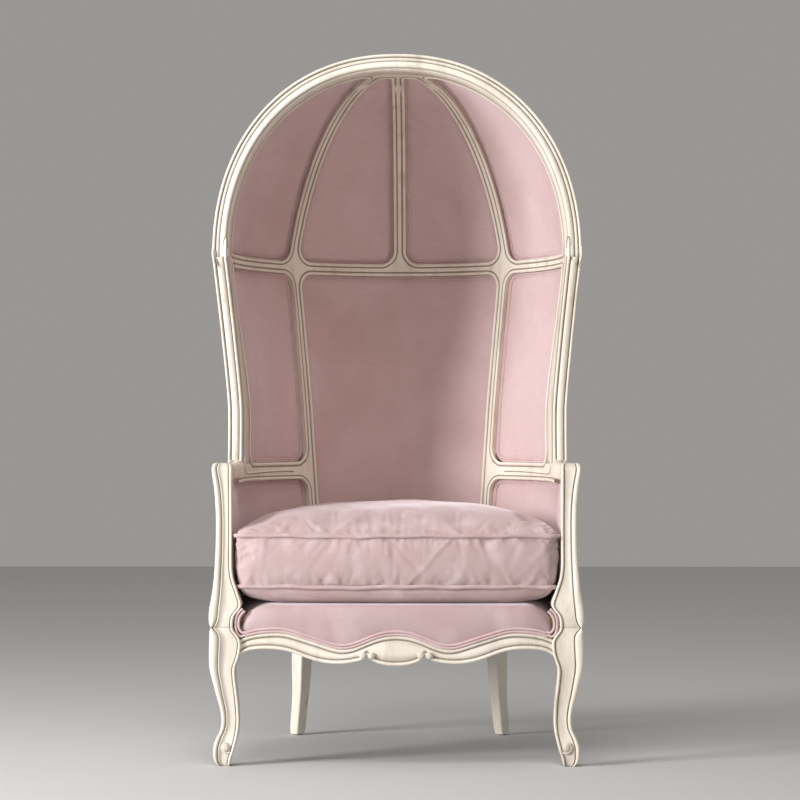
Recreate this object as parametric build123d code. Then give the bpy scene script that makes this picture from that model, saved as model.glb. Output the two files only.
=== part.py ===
from build123d import *
from math import cos, pi, radians, sin
import os

# A hooded porter's chair: a carved frame with panelled hood and a loose seat cushion.
# The unit is the millimetre. +X is to the right as the chair is faced, +Y runs to the back
# and the origin is on the floor under the middle of the chair.

# Driving sizes of the hood and the shell below it
chair_height = 1650
hood_half_width = 432
hood_front_y = -250
hood_back_y = 385
hood_fullness = 2.17
ring_z = 1175
arch_depth = 85
waist_z = 820
foot_back_y = 362
frame_thickness = 38
member_width = 30
corner_radius = 34

# Driving sizes of the seat, the arms and the legs
seat_frame_z = 376
rail_height = 84
arm_top_z = 690
arm_height = 42
arm_break_y = -150
arm_set_back = 11
arm_post_width = 52
arm_post_depth = 55
leg_front_y = -385
leg_top_z = 318
knee_half_width = 430
knee_width = 70
knee_stand_out = 26

# Upholstery depths, measured inward from the outer face of the frame
cover_top = 4
cover_bottom = 10
pad_bottom = 14
pad_top = 26

# Clearances and overruns
fit_gap = 0.5
soft_gap = 0.4
overrun = 60

# Places that follow from the driving sizes
quarter_turn = 90
half_turn = 2 * quarter_turn
waist_half_width = knee_half_width - knee_stand_out
arm_front_y = leg_front_y + arm_set_back
arm_post_inner_x = knee_half_width - arm_post_width
post_back_y = leg_front_y + arm_post_depth
spring_y = hood_front_y + arch_depth
half_member = member_width / 2
middle_depth = frame_thickness / 2
hood_reach = hood_back_y - spring_y
foot_reach = foot_back_y - spring_y
hood_rise = chair_height - ring_z
arm_bottom_z = arm_top_z - arm_height
flare_reach = half_member + corner_radius
far = chair_height

parts = {}


def box_between(low, high):
    """A box given by its lowest and highest corners."""
    size = [high[i] - low[i] for i in range(3)]
    middle = [(high[i] + low[i]) / 2 for i in range(3)]
    return Pos(*middle) * Box(*size)


def mirrored(shape):
    """The same piece for the other side of the chair."""
    return mirror(shape, about=Plane.YZ)


def add_pair(name, shape):
    """A piece and its mirror twin, named by side."""
    parts[name + "_right"] = shape
    parts[name + "_left"] = mirrored(shape)


def largest(shape):
    """The main solid of a cut, without loose slivers."""
    return max(shape.solids(), key=lambda solid: solid.volume)


def side_face(edges):
    """A face drawn as (y, z) and stood up for cutting along X."""
    return Plane(origin=(0, 0, 0), x_dir=(0, 1, 0), z_dir=(1, 0, 0)) * make_face(edges)


def front_face(edges):
    """A face drawn as (x, z) and stood up for running along Y."""
    return Plane(origin=(0, 0, 0), x_dir=(1, 0, 0), z_dir=(0, -1, 0)) * make_face(edges)


def along_y(face, start, end):
    """A stood-up face run from one depth to another."""
    return extrude(Pos(0, start, 0) * face, amount=end - start, dir=(0, 1, 0))


def along_x(face, start, end):
    """A stood-up side face run from one place to another."""
    return extrude(Pos(start, 0, 0) * face, amount=end - start, dir=(1, 0, 0))


# The shell of the chair: how wide and how deep it is at each height
flare_power = 1.2
barrel_level_shares = (0.24, 0.48, 0.66, 0.83)


def half_width(z, depth):
    """Half the width of the shell at height z, at a depth below its outer face."""
    share = max(z - waist_z, 0) / (ring_z - waist_z)
    return waist_half_width + (hood_half_width - waist_half_width) * share ** flare_power - depth


def back_reach(z, depth):
    """How far the shell reaches back from the spring line at height z."""
    share = (z - seat_frame_z) / (ring_z - seat_frame_z)
    return foot_reach + (hood_reach - foot_reach) * share - depth


def plan_face(z, depth, front_y, level):
    """The U-shaped plan of the shell for height z, drawn at a level."""
    half = half_width(z, depth)
    back = EllipticalCenterArc((0, spring_y), half, back_reach(z, depth), 0, arc_size=half_turn)
    right = Line((half, front_y), (half, spring_y))
    left = Line((-half, spring_y), (-half, front_y))
    front = Line((-half, front_y), (half, front_y))
    return Pos(0, 0, level) * make_face([right, back, left, front])


def barrel(depth, front_y):
    """The solid inside the lower shell, from the seat frame up to the ring."""
    levels = [seat_frame_z]
    for share in barrel_level_shares:
        levels.append(seat_frame_z + (ring_z - seat_frame_z) * share)
    levels.append(ring_z)
    return loft([plan_face(z, depth, front_y, z) for z in levels])


profile_steps = 8
slice_shares = (0, 0.12, 0.24, 0.36, 0.48, 0.6, 0.72, 0.8)


def hood_curve(depth):
    """The quarter outline of the hood in the plane of X and Z."""
    points = []
    for step in range(profile_steps + 1):
        turn = pi / 2 * step / profile_steps
        out = (hood_half_width - depth) * max(cos(turn), 0) ** (2 / hood_fullness)
        up = (hood_rise - depth) * sin(turn) ** (2 / hood_fullness)
        points.append(Vector(out, 0, up))
    points[-1] = Vector(0, 0, hood_rise - depth)
    return Spline(points, tangents=[(0, 0, 1), (-1, 0, 0)])


def dome(depth):
    """The solid inside the domed back of the hood."""
    half = hood_half_width - depth
    rise = hood_rise - depth
    face = make_face([hood_curve(depth), Line((0, 0, rise), (0, 0, 0)), Line((0, 0, 0), (half, 0, 0))])
    round_dome = revolve(Rot(0, 0, -quarter_turn) * face, axis=Axis.Z, revolution_arc=2 * half_turn)
    round_dome -= box_between((-far, -far, -far), (far, 0, far))
    return Pos(0, spring_y, ring_z) * scale(round_dome, by=(1, (hood_reach - depth) / half, 1))


def dome_slice(depth, y):
    """The upright section of the dome at a distance behind the spring line."""
    half = hood_half_width - depth
    rise = hood_rise - depth
    back = y / (hood_reach - depth)
    slice_rise = rise * (1 - back ** hood_fullness) ** (1 / hood_fullness)
    points = []
    for step in range(profile_steps + 1):
        up = slice_rise * sin(pi / 2 * step / profile_steps) ** (2 / hood_fullness)
        reach = max(1 - (up / rise) ** hood_fullness, 0) ** (2 / hood_fullness)
        points.append(Vector(half * max(reach - back ** 2, 0) ** 0.5, 0, up))
    points[-1] = Vector(0, 0, slice_rise)
    curve = Spline(points, tangents=[(0, 0, 1), (-1, 0, 0)])
    face = make_face([curve, Line(points[-1], (0, 0, 0)), Line((0, 0, 0), points[0])])
    return Pos(0, spring_y + y, ring_z) * face


def dome_side(depth):
    """The right half of the dome, without its far back, for the side panels."""
    return loft([dome_slice(depth, hood_reach * share) for share in slice_shares])


def tunnel(depth, front_y, back_y):
    """The solid inside the straight front band of the hood."""
    half = hood_half_width - depth
    right = hood_curve(depth)
    left = mirror(right, about=Plane.YZ)
    face = make_face([right, left, Line((-half, 0, 0), (half, 0, 0))])
    return extrude(Pos(0, front_y, ring_z) * face, amount=back_y - front_y, dir=(0, 1, 0))


# The side ribs of the dome each lie in one leaning plane through the star on the ring
star_x = 273
rib_turn = 21.5
rib_lean = 9.6
crown_depth = 55
post_foot_set_in = 190
post_foot_x = waist_half_width - post_foot_set_in
stile_depth = 80
stile_front_ys = (-135, -127, -140, -172, -214, hood_front_y)
stile_front_shares = (0, 0.19, 0.41, 0.61, 0.82, 1)
crown_corner_radius = 8


def shell_y(x, z):
    """How far back the middle of the shell lies at a place seen from the front."""
    return spring_y + back_reach(z, middle_depth) * (1 - (x / half_width(z, middle_depth)) ** 2) ** 0.5


star = Vector(star_x, shell_y(star_x, ring_z), ring_z)
post_foot = Vector(post_foot_x, shell_y(post_foot_x, seat_frame_z), seat_frame_z)
rib_flat = cos(radians(rib_lean))
rib_normal = Vector(
    cos(radians(rib_turn)) * rib_flat,
    -sin(radians(rib_turn)) * rib_flat,
    sin(radians(rib_lean)),
)
star_out = Vector(
    star.X / half_width(ring_z, middle_depth) ** 2,
    (star.Y - spring_y) / back_reach(ring_z, middle_depth) ** 2,
    0,
).normalized()
post_normal = star_out.cross(star - post_foot).normalized()
post_normal = post_normal * (1 if post_normal.X > 0 else -1)


def beyond(point, normal):
    """Everything on one side of a plane."""
    return Plane(origin=point, z_dir=normal) * Pos(0, 0, far) * Box(4 * far, 4 * far, 2 * far)


def common(shapes):
    """What several solids share."""
    result = shapes[0]
    for shape in shapes[1:]:
        result = result & shape
    return result


def dome_side_cutter(inset):
    """The window between a side rib, the ring and the front arch."""
    off = half_member + inset
    return wedge([
        (star + rib_normal * off, rib_normal),
        (Vector(0, 0, ring_z + off), Vector(0, 0, 1)),
        (Vector(0, spring_y + inset - arch_margin, 0), Vector(0, 1, 0)),
    ], [(0, 1), (1, 2), (0, 2)])


def dome_back_cutter(inset):
    """The window between a side rib, the ring, the middle rib and the crown."""
    off = half_member + inset
    return wedge([
        (star - rib_normal * off, -rib_normal),
        (Vector(0, 0, ring_z + off), Vector(0, 0, 1)),
        (Vector(off, 0, 0), Vector(1, 0, 0)),
        (Vector(0, spring_y + crown_depth + inset, 0), Vector(0, 1, 0)),
    ], [(0, 1), (1, 2)], [(2, 3), (3, 0)])


arch_margin = 1
on_plane = 0.01


def edges_on(shape, planes, pairs):
    """The edges of a solid that lie on both planes of any of the pairs."""
    chosen = []
    for edge in shape.edges():
        middle = edge @ 0.5
        misses = [abs((middle - point).dot(normal)) for point, normal in planes]
        if any(max(misses[first], misses[second]) < on_plane for first, second in pairs):
            chosen.append(edge)
    return chosen


def wedge(planes, wide_corners, tight_corners=()):
    """A window cutter bounded by planes, with the edges between given planes rounded."""
    shape = common([beyond(point, normal) for point, normal in planes])
    shape = fillet(edges_on(shape, planes, wide_corners), radius=corner_radius)
    if tight_corners:
        shape = fillet(edges_on(shape, planes, tight_corners), radius=crown_corner_radius)
    return shape


def stile_line(off, low, high):
    """The sweeping front edge of a wing between two heights, moved back by a distance."""
    places = []
    for y, share in zip(stile_front_ys, stile_front_shares):
        places.append((y + off, low + (high - low) * share))
    return Spline(places)


def wing_cutter(inset):
    """The window between ring, stile, arm rail and back post."""
    high = ring_z - half_member - inset
    low = arm_top_z + inset
    line = stile_line(stile_depth + inset, low, high)
    edges = [
        line,
        Line((stile_front_ys[-1] + stile_depth + inset, high), (far, high)),
        Line((far, high), (far, low)),
        Line((far, low), (stile_front_ys[0] + stile_depth + inset, low)),
    ]
    face = make_face(edges)
    face = fillet([v for v in face.vertices() if v.X < spring_y + 2 * stile_depth], radius=corner_radius)
    standing = Plane(origin=(star_x / 2, 0, 0), x_dir=(0, 1, 0), z_dir=(1, 0, 0)) * face
    planes = [
        (star + post_normal * (half_member + inset), post_normal),
        (Vector(0, 0, high), Vector(0, 0, -1)),
        (Vector(0, 0, low), Vector(0, 0, 1)),
    ]
    shape = extrude(standing, amount=far, dir=(1, 0, 0)) & beyond(*planes[0])
    return fillet(edges_on(shape, planes, [(0, 1), (0, 2)]), radius=corner_radius)


def arm_cutter(inset):
    """The window under the arm, open to the seat frame and the arm post."""
    return wedge([
        (Vector(0, 0, arm_bottom_z - inset), Vector(0, 0, -1)),
        (star + post_normal * (half_member + inset), post_normal),
        (Vector(fit_gap, 0, 0), Vector(1, 0, 0)),
    ], [(0, 1)])


def back_cutter(inset):
    """The window of the back panel, open at the seat frame."""
    off = half_member + inset
    flat = Vector(-post_normal.X, post_normal.Y, post_normal.Z)
    star_left = Vector(-star.X, star.Y, star.Z)
    return wedge([
        (star - post_normal * off, -post_normal),
        (Vector(0, 0, ring_z - off), Vector(0, 0, -1)),
        (star_left - flat * off, -flat),
        (Vector(0, spring_y, 0), Vector(0, 1, 0)),
    ], [(0, 1), (1, 2)])


def windows(inset):
    """All window cutters by the name of the panel that fills them."""
    return {
        "dome_side": dome_side_cutter(inset),
        "dome_back": dome_back_cutter(inset),
        "wing": wing_cutter(inset),
        "arm": arm_cutter(inset),
        "back": back_cutter(inset),
    }


# The front arch, with a hollow run along its front face between two beads
bead_width = 8
hollow_depth = 5

arch = tunnel(0, hood_front_y, spring_y)
arch -= tunnel(frame_thickness, hood_front_y - overrun, spring_y + overrun)
hollow = tunnel(bead_width, hood_front_y - overrun, hood_front_y + hollow_depth)
hollow -= tunnel(frame_thickness - bead_width, hood_front_y - overrun, hood_front_y + hollow_depth)
arch -= hollow
parts["hood_arch"] = arch

# The latticed dome and the latticed lower shell, cut by the windows
open_windows = windows(0)
dome_lattice = dome(0) - dome(frame_thickness)
for panel in ("dome_side", "dome_back"):
    dome_lattice -= open_windows[panel]
    dome_lattice -= mirrored(open_windows[panel])
shell_front_y = post_back_y
barrel_lattice = barrel(0, shell_front_y) - barrel(frame_thickness, shell_front_y - overrun)
barrel_lattice -= open_windows["back"]
for panel in ("wing", "arm"):
    barrel_lattice -= open_windows[panel]
    barrel_lattice -= mirrored(open_windows[panel])
stile_front = stile_line(0, arm_top_z, ring_z)
stile_low = stile_front @ 0
stile_high = stile_front @ 1
far_front = arm_front_y - overrun
front_edges = [
    stile_front,
    Line(stile_high, (far_front, stile_high.Y + overrun)),
    Line((far_front, stile_high.Y + overrun), (far_front, stile_low.Y)),
    Line((far_front, stile_low.Y), stile_low),
]
barrel_lattice -= along_x(side_face(front_edges), -far, far)

# The ring of the hood, in three rails that meet behind the stars
ring_low_z = ring_z - flare_reach
ring_high_z = ring_z + flare_reach
ring_band = box_between((-far, spring_y, ring_low_z), (far, far, ring_high_z))
dome_band = box_between((-far, -far, ring_z - overrun), (far, far, ring_high_z))
ring = (dome_lattice & dome_band) + (barrel_lattice & ring_band)
ring_joint = Plane(origin=star, z_dir=(star_out.Y, -star_out.X, 0))
ring_joint_left = Plane(origin=(-star.X, star.Y, star.Z), z_dir=(-star_out.Y, -star_out.X, 0))
ring_side = split(ring, bisect_by=ring_joint, keep=Keep.TOP)
ring_middle = split(ring, bisect_by=ring_joint, keep=Keep.BOTTOM)
ring_middle = split(ring_middle, bisect_by=ring_joint_left, keep=Keep.BOTTOM)
parts["ring_rail_back"] = largest(ring_middle)
add_pair("ring_rail", largest(ring_side))

# The three dome ribs and the crown that ties them to the arch
crown_back_y = spring_y + crown_depth + corner_radius
upper = dome_lattice - box_between((-far, -far, 0), (far, far, ring_high_z))
crown_zone = box_between((-far, -far, ring_z + hood_rise / 2), (far, crown_back_y, far))
rib_zone = box_between((-far, crown_back_y, 0), (far, far, far))
rib_zone += box_between((-far, -far, 0), (far, far, ring_z + hood_rise / 2))
ribs = (upper - crown_zone).solids()
ribs = sorted(ribs, key=lambda solid: -solid.volume)[:3]
ribs = sorted(ribs, key=lambda solid: solid.center().X)
parts["dome_rib_left"] = ribs[0]
parts["dome_rib_center"] = ribs[1]
parts["dome_rib_right"] = ribs[2]
parts["crown_block"] = largest(upper - rib_zone)

# The back posts, the wing stiles and the arm rails of the lower shell
split_margin = 2
right_side = box_between((0, -far, 0), (far, far, far))
lower_right = barrel_lattice & right_side
not_behind = beyond(star + post_normal * (half_member + split_margin), post_normal)
above_posts = box_between((0, -far, ring_low_z), (far, far, far))
back_post = largest(lower_right - not_behind - above_posts)
stile_zone = box_between((0, -far, arm_top_z), (far, 0, ring_z))
stile_zone -= box_between((0, spring_y, ring_low_z), (far, far, far))
wing_stile = largest(lower_right & stile_zone)
rail_zone = box_between((0, arm_break_y, arm_bottom_z - overrun), (far, far, arm_top_z)) & not_behind
arm_rail = largest(lower_right & rail_zone)

# The open arm in front of the wing, curving out to its scrolled end
arm_round = 12
arm_reach_shares = (0, 0.28, 0.55, 0.8, 1)
arm_out_shares = (0, 0.14, 0.55, 0.95, 0.85)
arm_in_shares = (0, 0, 0.35, 0.85, 1)
arm_drop_shares = (0, -0.06, -0.04, 0, 0.12)


def arm_section(index):
    """One upright section of the arm."""
    y = arm_break_y + (arm_front_y - arm_break_y) * arm_reach_shares[index]
    outer = half_width(arm_top_z, 0)
    outer += (knee_half_width - outer) * arm_out_shares[index]
    inner = half_width(arm_top_z, frame_thickness)
    inner += (arm_post_inner_x - inner) * arm_in_shares[index]
    top = arm_top_z - arm_height * arm_drop_shares[index]
    middle = ((outer + inner) / 2, y, (top + arm_bottom_z) / 2)
    plane = Plane(origin=middle, x_dir=(1, 0, 0), z_dir=(0, -1, 0))
    return plane * RectangleRounded(outer - inner, top - arm_bottom_z, arm_round)


arm = loft([arm_section(index) for index in range(len(arm_reach_shares))])

# The arm posts: each stands on a front leg and carries the front of an arm
arm_post_height_shares = (0, 0.09, 0.2, 0.34, 0.47, 0.62, 0.78, 0.9, 1)
arm_post_out_shares = (0, 0, 0.02, 0.25, 0.52, 0.9, 1, 0.9, 0.66)
arm_post_in_shares = (0, 0.75, 1, 1, 1, 1, 1, 1, 1)
arm_post_front_shares = (0, 0.05, 0.2, 0.6, 0.9, 1, 0.85, 0.55, 0.3)
arm_post_narrow = 15
arm_post_sweep = 24
post_round = 9


def arm_post_section(index):
    """One level section of an arm post."""
    z = leg_top_z + (arm_bottom_z - leg_top_z) * arm_post_height_shares[index]
    outer = knee_half_width - arm_post_narrow * arm_post_out_shares[index]
    inner = knee_half_width - knee_width
    inner += (arm_post_inner_x - inner) * arm_post_in_shares[index]
    front = leg_front_y + arm_post_sweep * arm_post_front_shares[index]
    centre = Pos((outer + inner) / 2, (front + post_back_y) / 2, z)
    return centre * RectangleRounded(outer - inner, post_back_y - front, post_round)


arm_post = loft([arm_post_section(index) for index in range(len(arm_post_height_shares))])

# The front legs: cabriole legs with a knee, a slim ankle and a scrolled toe
glide_height = 2.5
leg_height_shares = (0, 0.035, 0.1, 0.17, 0.25, 0.335, 0.45, 0.59, 0.72, 0.81, 0.92, 1)
leg_inset_shares = (0.32, 0.17, 0.13, 0.17, 0.32, 0.38, 0.3, 0.13, 0.02, 0, 0, 0)
leg_width_shares = (0.5, 0.62, 0.66, 0.68, 0.6, 0.58, 0.63, 0.76, 0.86, 0.98, 1, 1)
leg_sweep_share = 0.9
leg_round_share = 0.24


def leg_section(index):
    """One level section of a front leg, set out towards the corner of the chair."""
    z = glide_height + (leg_top_z - glide_height) * leg_height_shares[index]
    width = knee_width * leg_width_shares[index]
    outer = knee_half_width - knee_width * leg_inset_shares[index]
    front = leg_front_y + knee_width * leg_inset_shares[index] * leg_sweep_share
    centre = Pos(outer - width / 2, front + width / 2, z)
    return centre * RectangleRounded(width, width, width * leg_round_share)


front_leg = loft([leg_section(index) for index in range(len(leg_height_shares))])

# The rear legs: square sabre legs set cornerwise, swept out and back
rear_leg_height_shares = (0, 0.02, 0.18, 0.35, 0.55, 0.78, 1)
rear_leg_out_shares = (1, 0.98, 0.85, 0.74, 0.68, 0.32, 0)
rear_leg_back_shares = (1, 0.97, 0.67, 0.37, 0.16, 0.02, 0)
rear_leg_width_shares = (0.6, 0.64, 0.7, 0.78, 0.87, 1, 1)
rear_leg_width = 44
rear_leg_spread = 45
rear_leg_set_in = 42
rear_leg_foot_x = post_foot_x + rear_leg_spread
rear_leg_foot_y = foot_back_y - rear_leg_set_in
rear_leg_round = 4


def rear_leg_section(index):
    """One level section of a rear leg."""
    z = glide_height + (seat_frame_z - glide_height) * rear_leg_height_shares[index]
    x = post_foot_x + (rear_leg_foot_x - post_foot_x) * rear_leg_out_shares[index]
    top_y = post_foot.Y
    y = top_y + (rear_leg_foot_y - top_y) * rear_leg_back_shares[index]
    width = rear_leg_width * rear_leg_width_shares[index]
    return Pos(x, y, z) * Rot(0, 0, quarter_turn / 2) * RectangleRounded(width, width, rear_leg_round)


rear_leg = loft([rear_leg_section(index) for index in range(len(rear_leg_height_shares))])

# The seat rails: shaped side rails and rear rail, and a carved serpentine front rail
rail_bottom_z = seat_frame_z - rail_height
rail_drop = 24
rail_front_y = leg_front_y + knee_width
side_rail_run_shares = (0, 0.14, 0.4, 0.7, 1)
side_rail_drop_shares = (1, 0.2, 0, 0.1, 0.8)

rail_low_z = rail_bottom_z - rail_drop
rail_ring = extrude(plan_face(seat_frame_z, 0, rail_front_y, rail_low_z), amount=rail_height + rail_drop)
rail_hollow = plan_face(seat_frame_z, frame_thickness, rail_front_y - overrun, rail_low_z)
rail_ring -= extrude(rail_hollow, amount=rail_height + rail_drop)
rail_end_y = post_foot.Y
rail_run = rail_end_y - rail_front_y
side_rail_places = []
for run_share, drop_share in zip(side_rail_run_shares, side_rail_drop_shares):
    side_rail_places.append((rail_front_y + rail_run * run_share, rail_bottom_z - rail_drop * drop_share))
side_rail_edges = [
    Spline(side_rail_places),
    Line(side_rail_places[-1], (rail_end_y, seat_frame_z)),
    Line((rail_end_y, seat_frame_z), (rail_front_y, seat_frame_z)),
    Line((rail_front_y, seat_frame_z), side_rail_places[0]),
]
side_rail = rail_ring & along_x(side_face(side_rail_edges), 0, far)
side_rail = largest(side_rail - rear_leg - front_leg)
rear_rail_zone = box_between((-post_foot_x, 0, rail_bottom_z), (post_foot_x, far, seat_frame_z))
rear_rail = (rail_ring & rear_rail_zone) - side_rail - mirrored(side_rail)
rear_rail = largest(rear_rail - rear_leg - mirrored(rear_leg))

front_rail_set_back = 12
front_rail_thickness = 36
front_rail_front_y = leg_front_y + front_rail_set_back
front_rail_back_y = front_rail_front_y + front_rail_thickness
front_rail_bow = 8
rebate = 22
rebate_drop = 24
rebate_top_z = seat_frame_z - rebate_drop
apron_drop = 100
apron_half = knee_half_width - knee_width
apron_top_shares = (1, 0.8, 0.56, 0.33, 0.16, 0)
apron_top_xs = [apron_half * share for share in apron_top_shares]
apron_top_drop_shares = (0.2, 0.34, 0.42, 0.45, 0.3, 0.2)
apron_top_zs = [leg_top_z - apron_drop * share for share in apron_top_drop_shares]
apron_low_shares = (1, 0.85, 0.6, 0.37, 0.21, 0)
apron_low_xs = [apron_half * share for share in apron_low_shares]
apron_low_drop_shares = (0.78, 0.49, 0.61, 0.85, 0.78, 0.88)
apron_low_zs = [leg_top_z - apron_drop * share for share in apron_low_drop_shares]


def serpentine(xs, zs):
    """A symmetric wavy edge through places given for one half."""
    right = list(zip(xs, zs))
    left = [(-x, z) for x, z in reversed(right[:-1])]
    return Spline(right + left)


apron_edges = [
    serpentine(apron_top_xs, apron_top_zs),
    Line((-apron_half, apron_top_zs[0]), (-apron_half, apron_low_zs[0])),
    serpentine(apron_low_xs, apron_low_zs),
    Line((apron_half, apron_low_zs[0]), (apron_half, apron_top_zs[0])),
]
apron = along_y(front_face(apron_edges), front_rail_front_y - front_rail_bow, front_rail_back_y)


def bow_face(half, front_y, bow, back_y):
    """A plan with a gently bowed front edge."""
    return make_face([
        ThreePointArc((-half, front_y), (0, front_y - bow), (half, front_y)),
        Line((half, front_y), (half, back_y)),
        Line((half, back_y), (-half, back_y)),
        Line((-half, back_y), (-half, front_y)),
    ])


bowed = extrude(bow_face(apron_half, front_rail_front_y, front_rail_bow, front_rail_back_y), amount=far)
apron = apron & bowed
upper_rail = box_between((-apron_half, front_rail_front_y + rebate, apron_top_zs[3] - rebate),
                         (apron_half, front_rail_back_y, rebate_top_z))
front_rail = apron + upper_rail - front_leg - mirrored(front_leg)
add_pair("side_seat_rail", side_rail)
parts["rear_seat_rail"] = rear_rail

# The seat deck: a padded platform whose rolled front edge covers the face of the front rail
deck_top_z = seat_frame_z + fit_gap
deck_thickness = 32
deck_depth = frame_thickness + fit_gap
roll_stand_out = 4
roll_front_y = front_rail_front_y - roll_stand_out
roll_round = 14
deck_half = half_width(seat_frame_z, deck_depth)
deck = extrude(plan_face(seat_frame_z, deck_depth, front_rail_back_y + fit_gap, deck_top_z - deck_thickness),
               amount=deck_thickness)
roll_half = apron_half - fit_gap
roll_plan = bow_face(roll_half, roll_front_y, front_rail_bow, front_rail_back_y + overrun)
roll = extrude(roll_plan, amount=deck_top_z)
roll &= box_between((-far, -far, apron_top_zs[3] - rebate), (far, far, deck_top_z))
roll_edges = [edge for edge in roll.edges().filter_by(GeomType.CIRCLE) if edge.center().Z > seat_frame_z]
roll = fillet(roll_edges, radius=roll_round)
deck = deck + roll - front_rail
roll_floor_edges = [
    serpentine(apron_top_xs, [z + fit_gap for z in apron_top_zs]),
    Line((-apron_half, apron_top_zs[0] + fit_gap), (-apron_half, 0)),
    Line((-apron_half, 0), (apron_half, 0)),
    Line((apron_half, 0), (apron_half, apron_top_zs[0] + fit_gap)),
]
deck -= along_y(front_face(roll_floor_edges), -far, front_rail_back_y)
deck -= box_between((-far, front_rail_back_y, 0), (far, far, deck_top_z - deck_thickness))
for leg in (front_leg, rear_leg):
    deck = deck - leg - mirrored(leg)
deck = largest(deck)

# Inside the seat: webbing, springs, blocks in the corners and a dust cover below
strap_width = 50
strap_thickness = 2
strap_count = 6
strap_rise = 12
strap_z = rail_bottom_z + strap_rise
spring_radius = 32
spring_waist = 22
spring_wall = 3
spring_pitch = 130
spring_columns = (-1, 0, 1)
well_plan = plan_face(seat_frame_z, frame_thickness + fit_gap, front_rail_back_y + fit_gap, rail_bottom_z)
well = extrude(well_plan, amount=rail_height)
straps = []
for step in range(strap_count):
    share = (step + 0.5) / strap_count
    x = deck_half * (2 * share - 1)
    y = front_rail_back_y + (hood_back_y - front_rail_back_y) * share
    straps.append(box_between((x - strap_width / 2, -far, strap_z),
                              (x + strap_width / 2, far, strap_z + strap_thickness)))
    straps.append(box_between((-far, y - strap_width / 2, strap_z + strap_thickness),
                              (far, y + strap_width / 2, strap_z + 2 * strap_thickness)))
well = well - rear_leg - mirrored(rear_leg)
webbing = Compound(children=[solid for strap in straps for solid in (strap & well).solids()])
spring_low_z = strap_z + 2 * strap_thickness
spring_high_z = deck_top_z - deck_thickness
spring_middle_z = (spring_low_z + spring_high_z) / 2
spring_face = make_face([
    ThreePointArc((spring_radius, 0, spring_low_z), (spring_waist, 0, spring_middle_z),
                  (spring_radius, 0, spring_high_z)),
    Line((spring_radius, 0, spring_high_z), (spring_radius - spring_wall, 0, spring_high_z)),
    ThreePointArc((spring_radius - spring_wall, 0, spring_high_z),
                  (spring_waist - spring_wall, 0, spring_middle_z),
                  (spring_radius - spring_wall, 0, spring_low_z)),
    Line((spring_radius - spring_wall, 0, spring_low_z), (spring_radius, 0, spring_low_z)),
])
spring = revolve(spring_face, axis=Axis.Z, revolution_arc=2 * half_turn)
springs = []
for row in spring_columns:
    for column in spring_columns:
        springs.append(Pos(column * spring_pitch, row * spring_pitch, 0) * spring)

dust_thickness = 1.5
dust_cover = extrude(well_plan, amount=dust_thickness)
for leg in (front_leg, rear_leg):
    dust_cover = dust_cover - leg - mirrored(leg)
dust_cover = largest(dust_cover)

block_leg = 55
block_low_z = spring_low_z + fit_gap
block_high_z = spring_high_z - fit_gap
block_x = half_width(seat_frame_z, frame_thickness)
block_face = make_face(Polyline((block_x, front_rail_back_y), (block_x - block_leg, front_rail_back_y),
                                (block_x, front_rail_back_y + block_leg), close=True))
front_block = extrude(Pos(0, 0, block_low_z) * block_face, amount=block_high_z - block_low_z)
front_block = largest(front_block - front_leg - arm_post)
inner_plan = extrude(plan_face(seat_frame_z, frame_thickness, front_rail_back_y, block_low_z),
                     amount=block_high_z - block_low_z)
rear_block_half = 30
rear_block_x = post_foot_x - rear_leg_width
rear_block = box_between((rear_block_x - rear_block_half, 0, block_low_z),
                         (half_width(seat_frame_z, frame_thickness), rail_end_y, block_high_z))
rear_block = rear_block & inner_plan
rear_block -= box_between((-far, -far, 0), (far, rail_end_y - rear_leg_width * 2, far))
rear_block = largest(rear_block - rear_leg)

# Fasteners: wood screws through the corner blocks and dowels across the frame joints
screw_radius = 2.5
screw_head_radius = 5
screw_length = 45
screw_head = 3
screw_z = spring_middle_z
screw_face_offset = block_leg / 2
front_screw_place = Pos(block_x - screw_face_offset, front_rail_back_y + screw_face_offset, screw_z)


def screw(place, turn):
    """A countersunk screw driven into a corner at a turn in plan."""
    shank = Pos(0, 0, -screw_length / 2) * Cylinder(screw_radius, screw_length)
    head = Pos(0, 0, screw_head / 2) * Cylinder(screw_head_radius, screw_head)
    return place * Rot(0, 0, turn) * Rot(0, -quarter_turn, 0) * (shank + head)


screws = [screw(front_screw_place, -quarter_turn / 2)]
screws.append(mirrored(screws[0]))

dowel_radius = 4
dowel_length = 44


def dowel(x, y, z):
    """An upright dowel centred on a joint."""
    return Pos(x, y, z) * Cylinder(dowel_radius, dowel_length)


arm_post_middle_x = (knee_half_width + arm_post_inner_x) / 2
arm_post_middle_y = (leg_front_y + post_back_y) / 2
stile_foot_y = stile_front_ys[0] + stile_depth / 2
stile_head_y = (hood_front_y + spring_y) / 2
post_head = post_foot + (star - post_foot) * ((ring_low_z - seat_frame_z) / (ring_z - seat_frame_z))
joints = {
    "post_head": (post_head.X, post_head.Y, ring_low_z),
    "post_foot": (post_foot_x, rail_end_y, seat_frame_z),
    "stile_head": (half_width(ring_z, middle_depth), stile_head_y, ring_z),
    "stile_foot": (half_width(arm_top_z, middle_depth), stile_foot_y, arm_top_z),
    "arm_end": (arm_post_middle_x, arm_post_middle_y, arm_bottom_z),
    "knee": (arm_post_middle_x, arm_post_middle_y, leg_top_z),
}
dowels = {name: dowel(*place) for name, place in joints.items()}
ring_right = parts["ring_rail_right"]
ring_back = parts["ring_rail_back"]
back_post -= dowels["post_head"] + dowels["post_foot"]
rear_leg -= dowels["post_foot"]
wing_stile -= dowels["stile_head"] + dowels["stile_foot"]
arm_rail -= dowels["stile_foot"]
arm -= dowels["arm_end"]
arm_post -= dowels["arm_end"] + dowels["knee"]
front_leg -= dowels["knee"]
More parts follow.
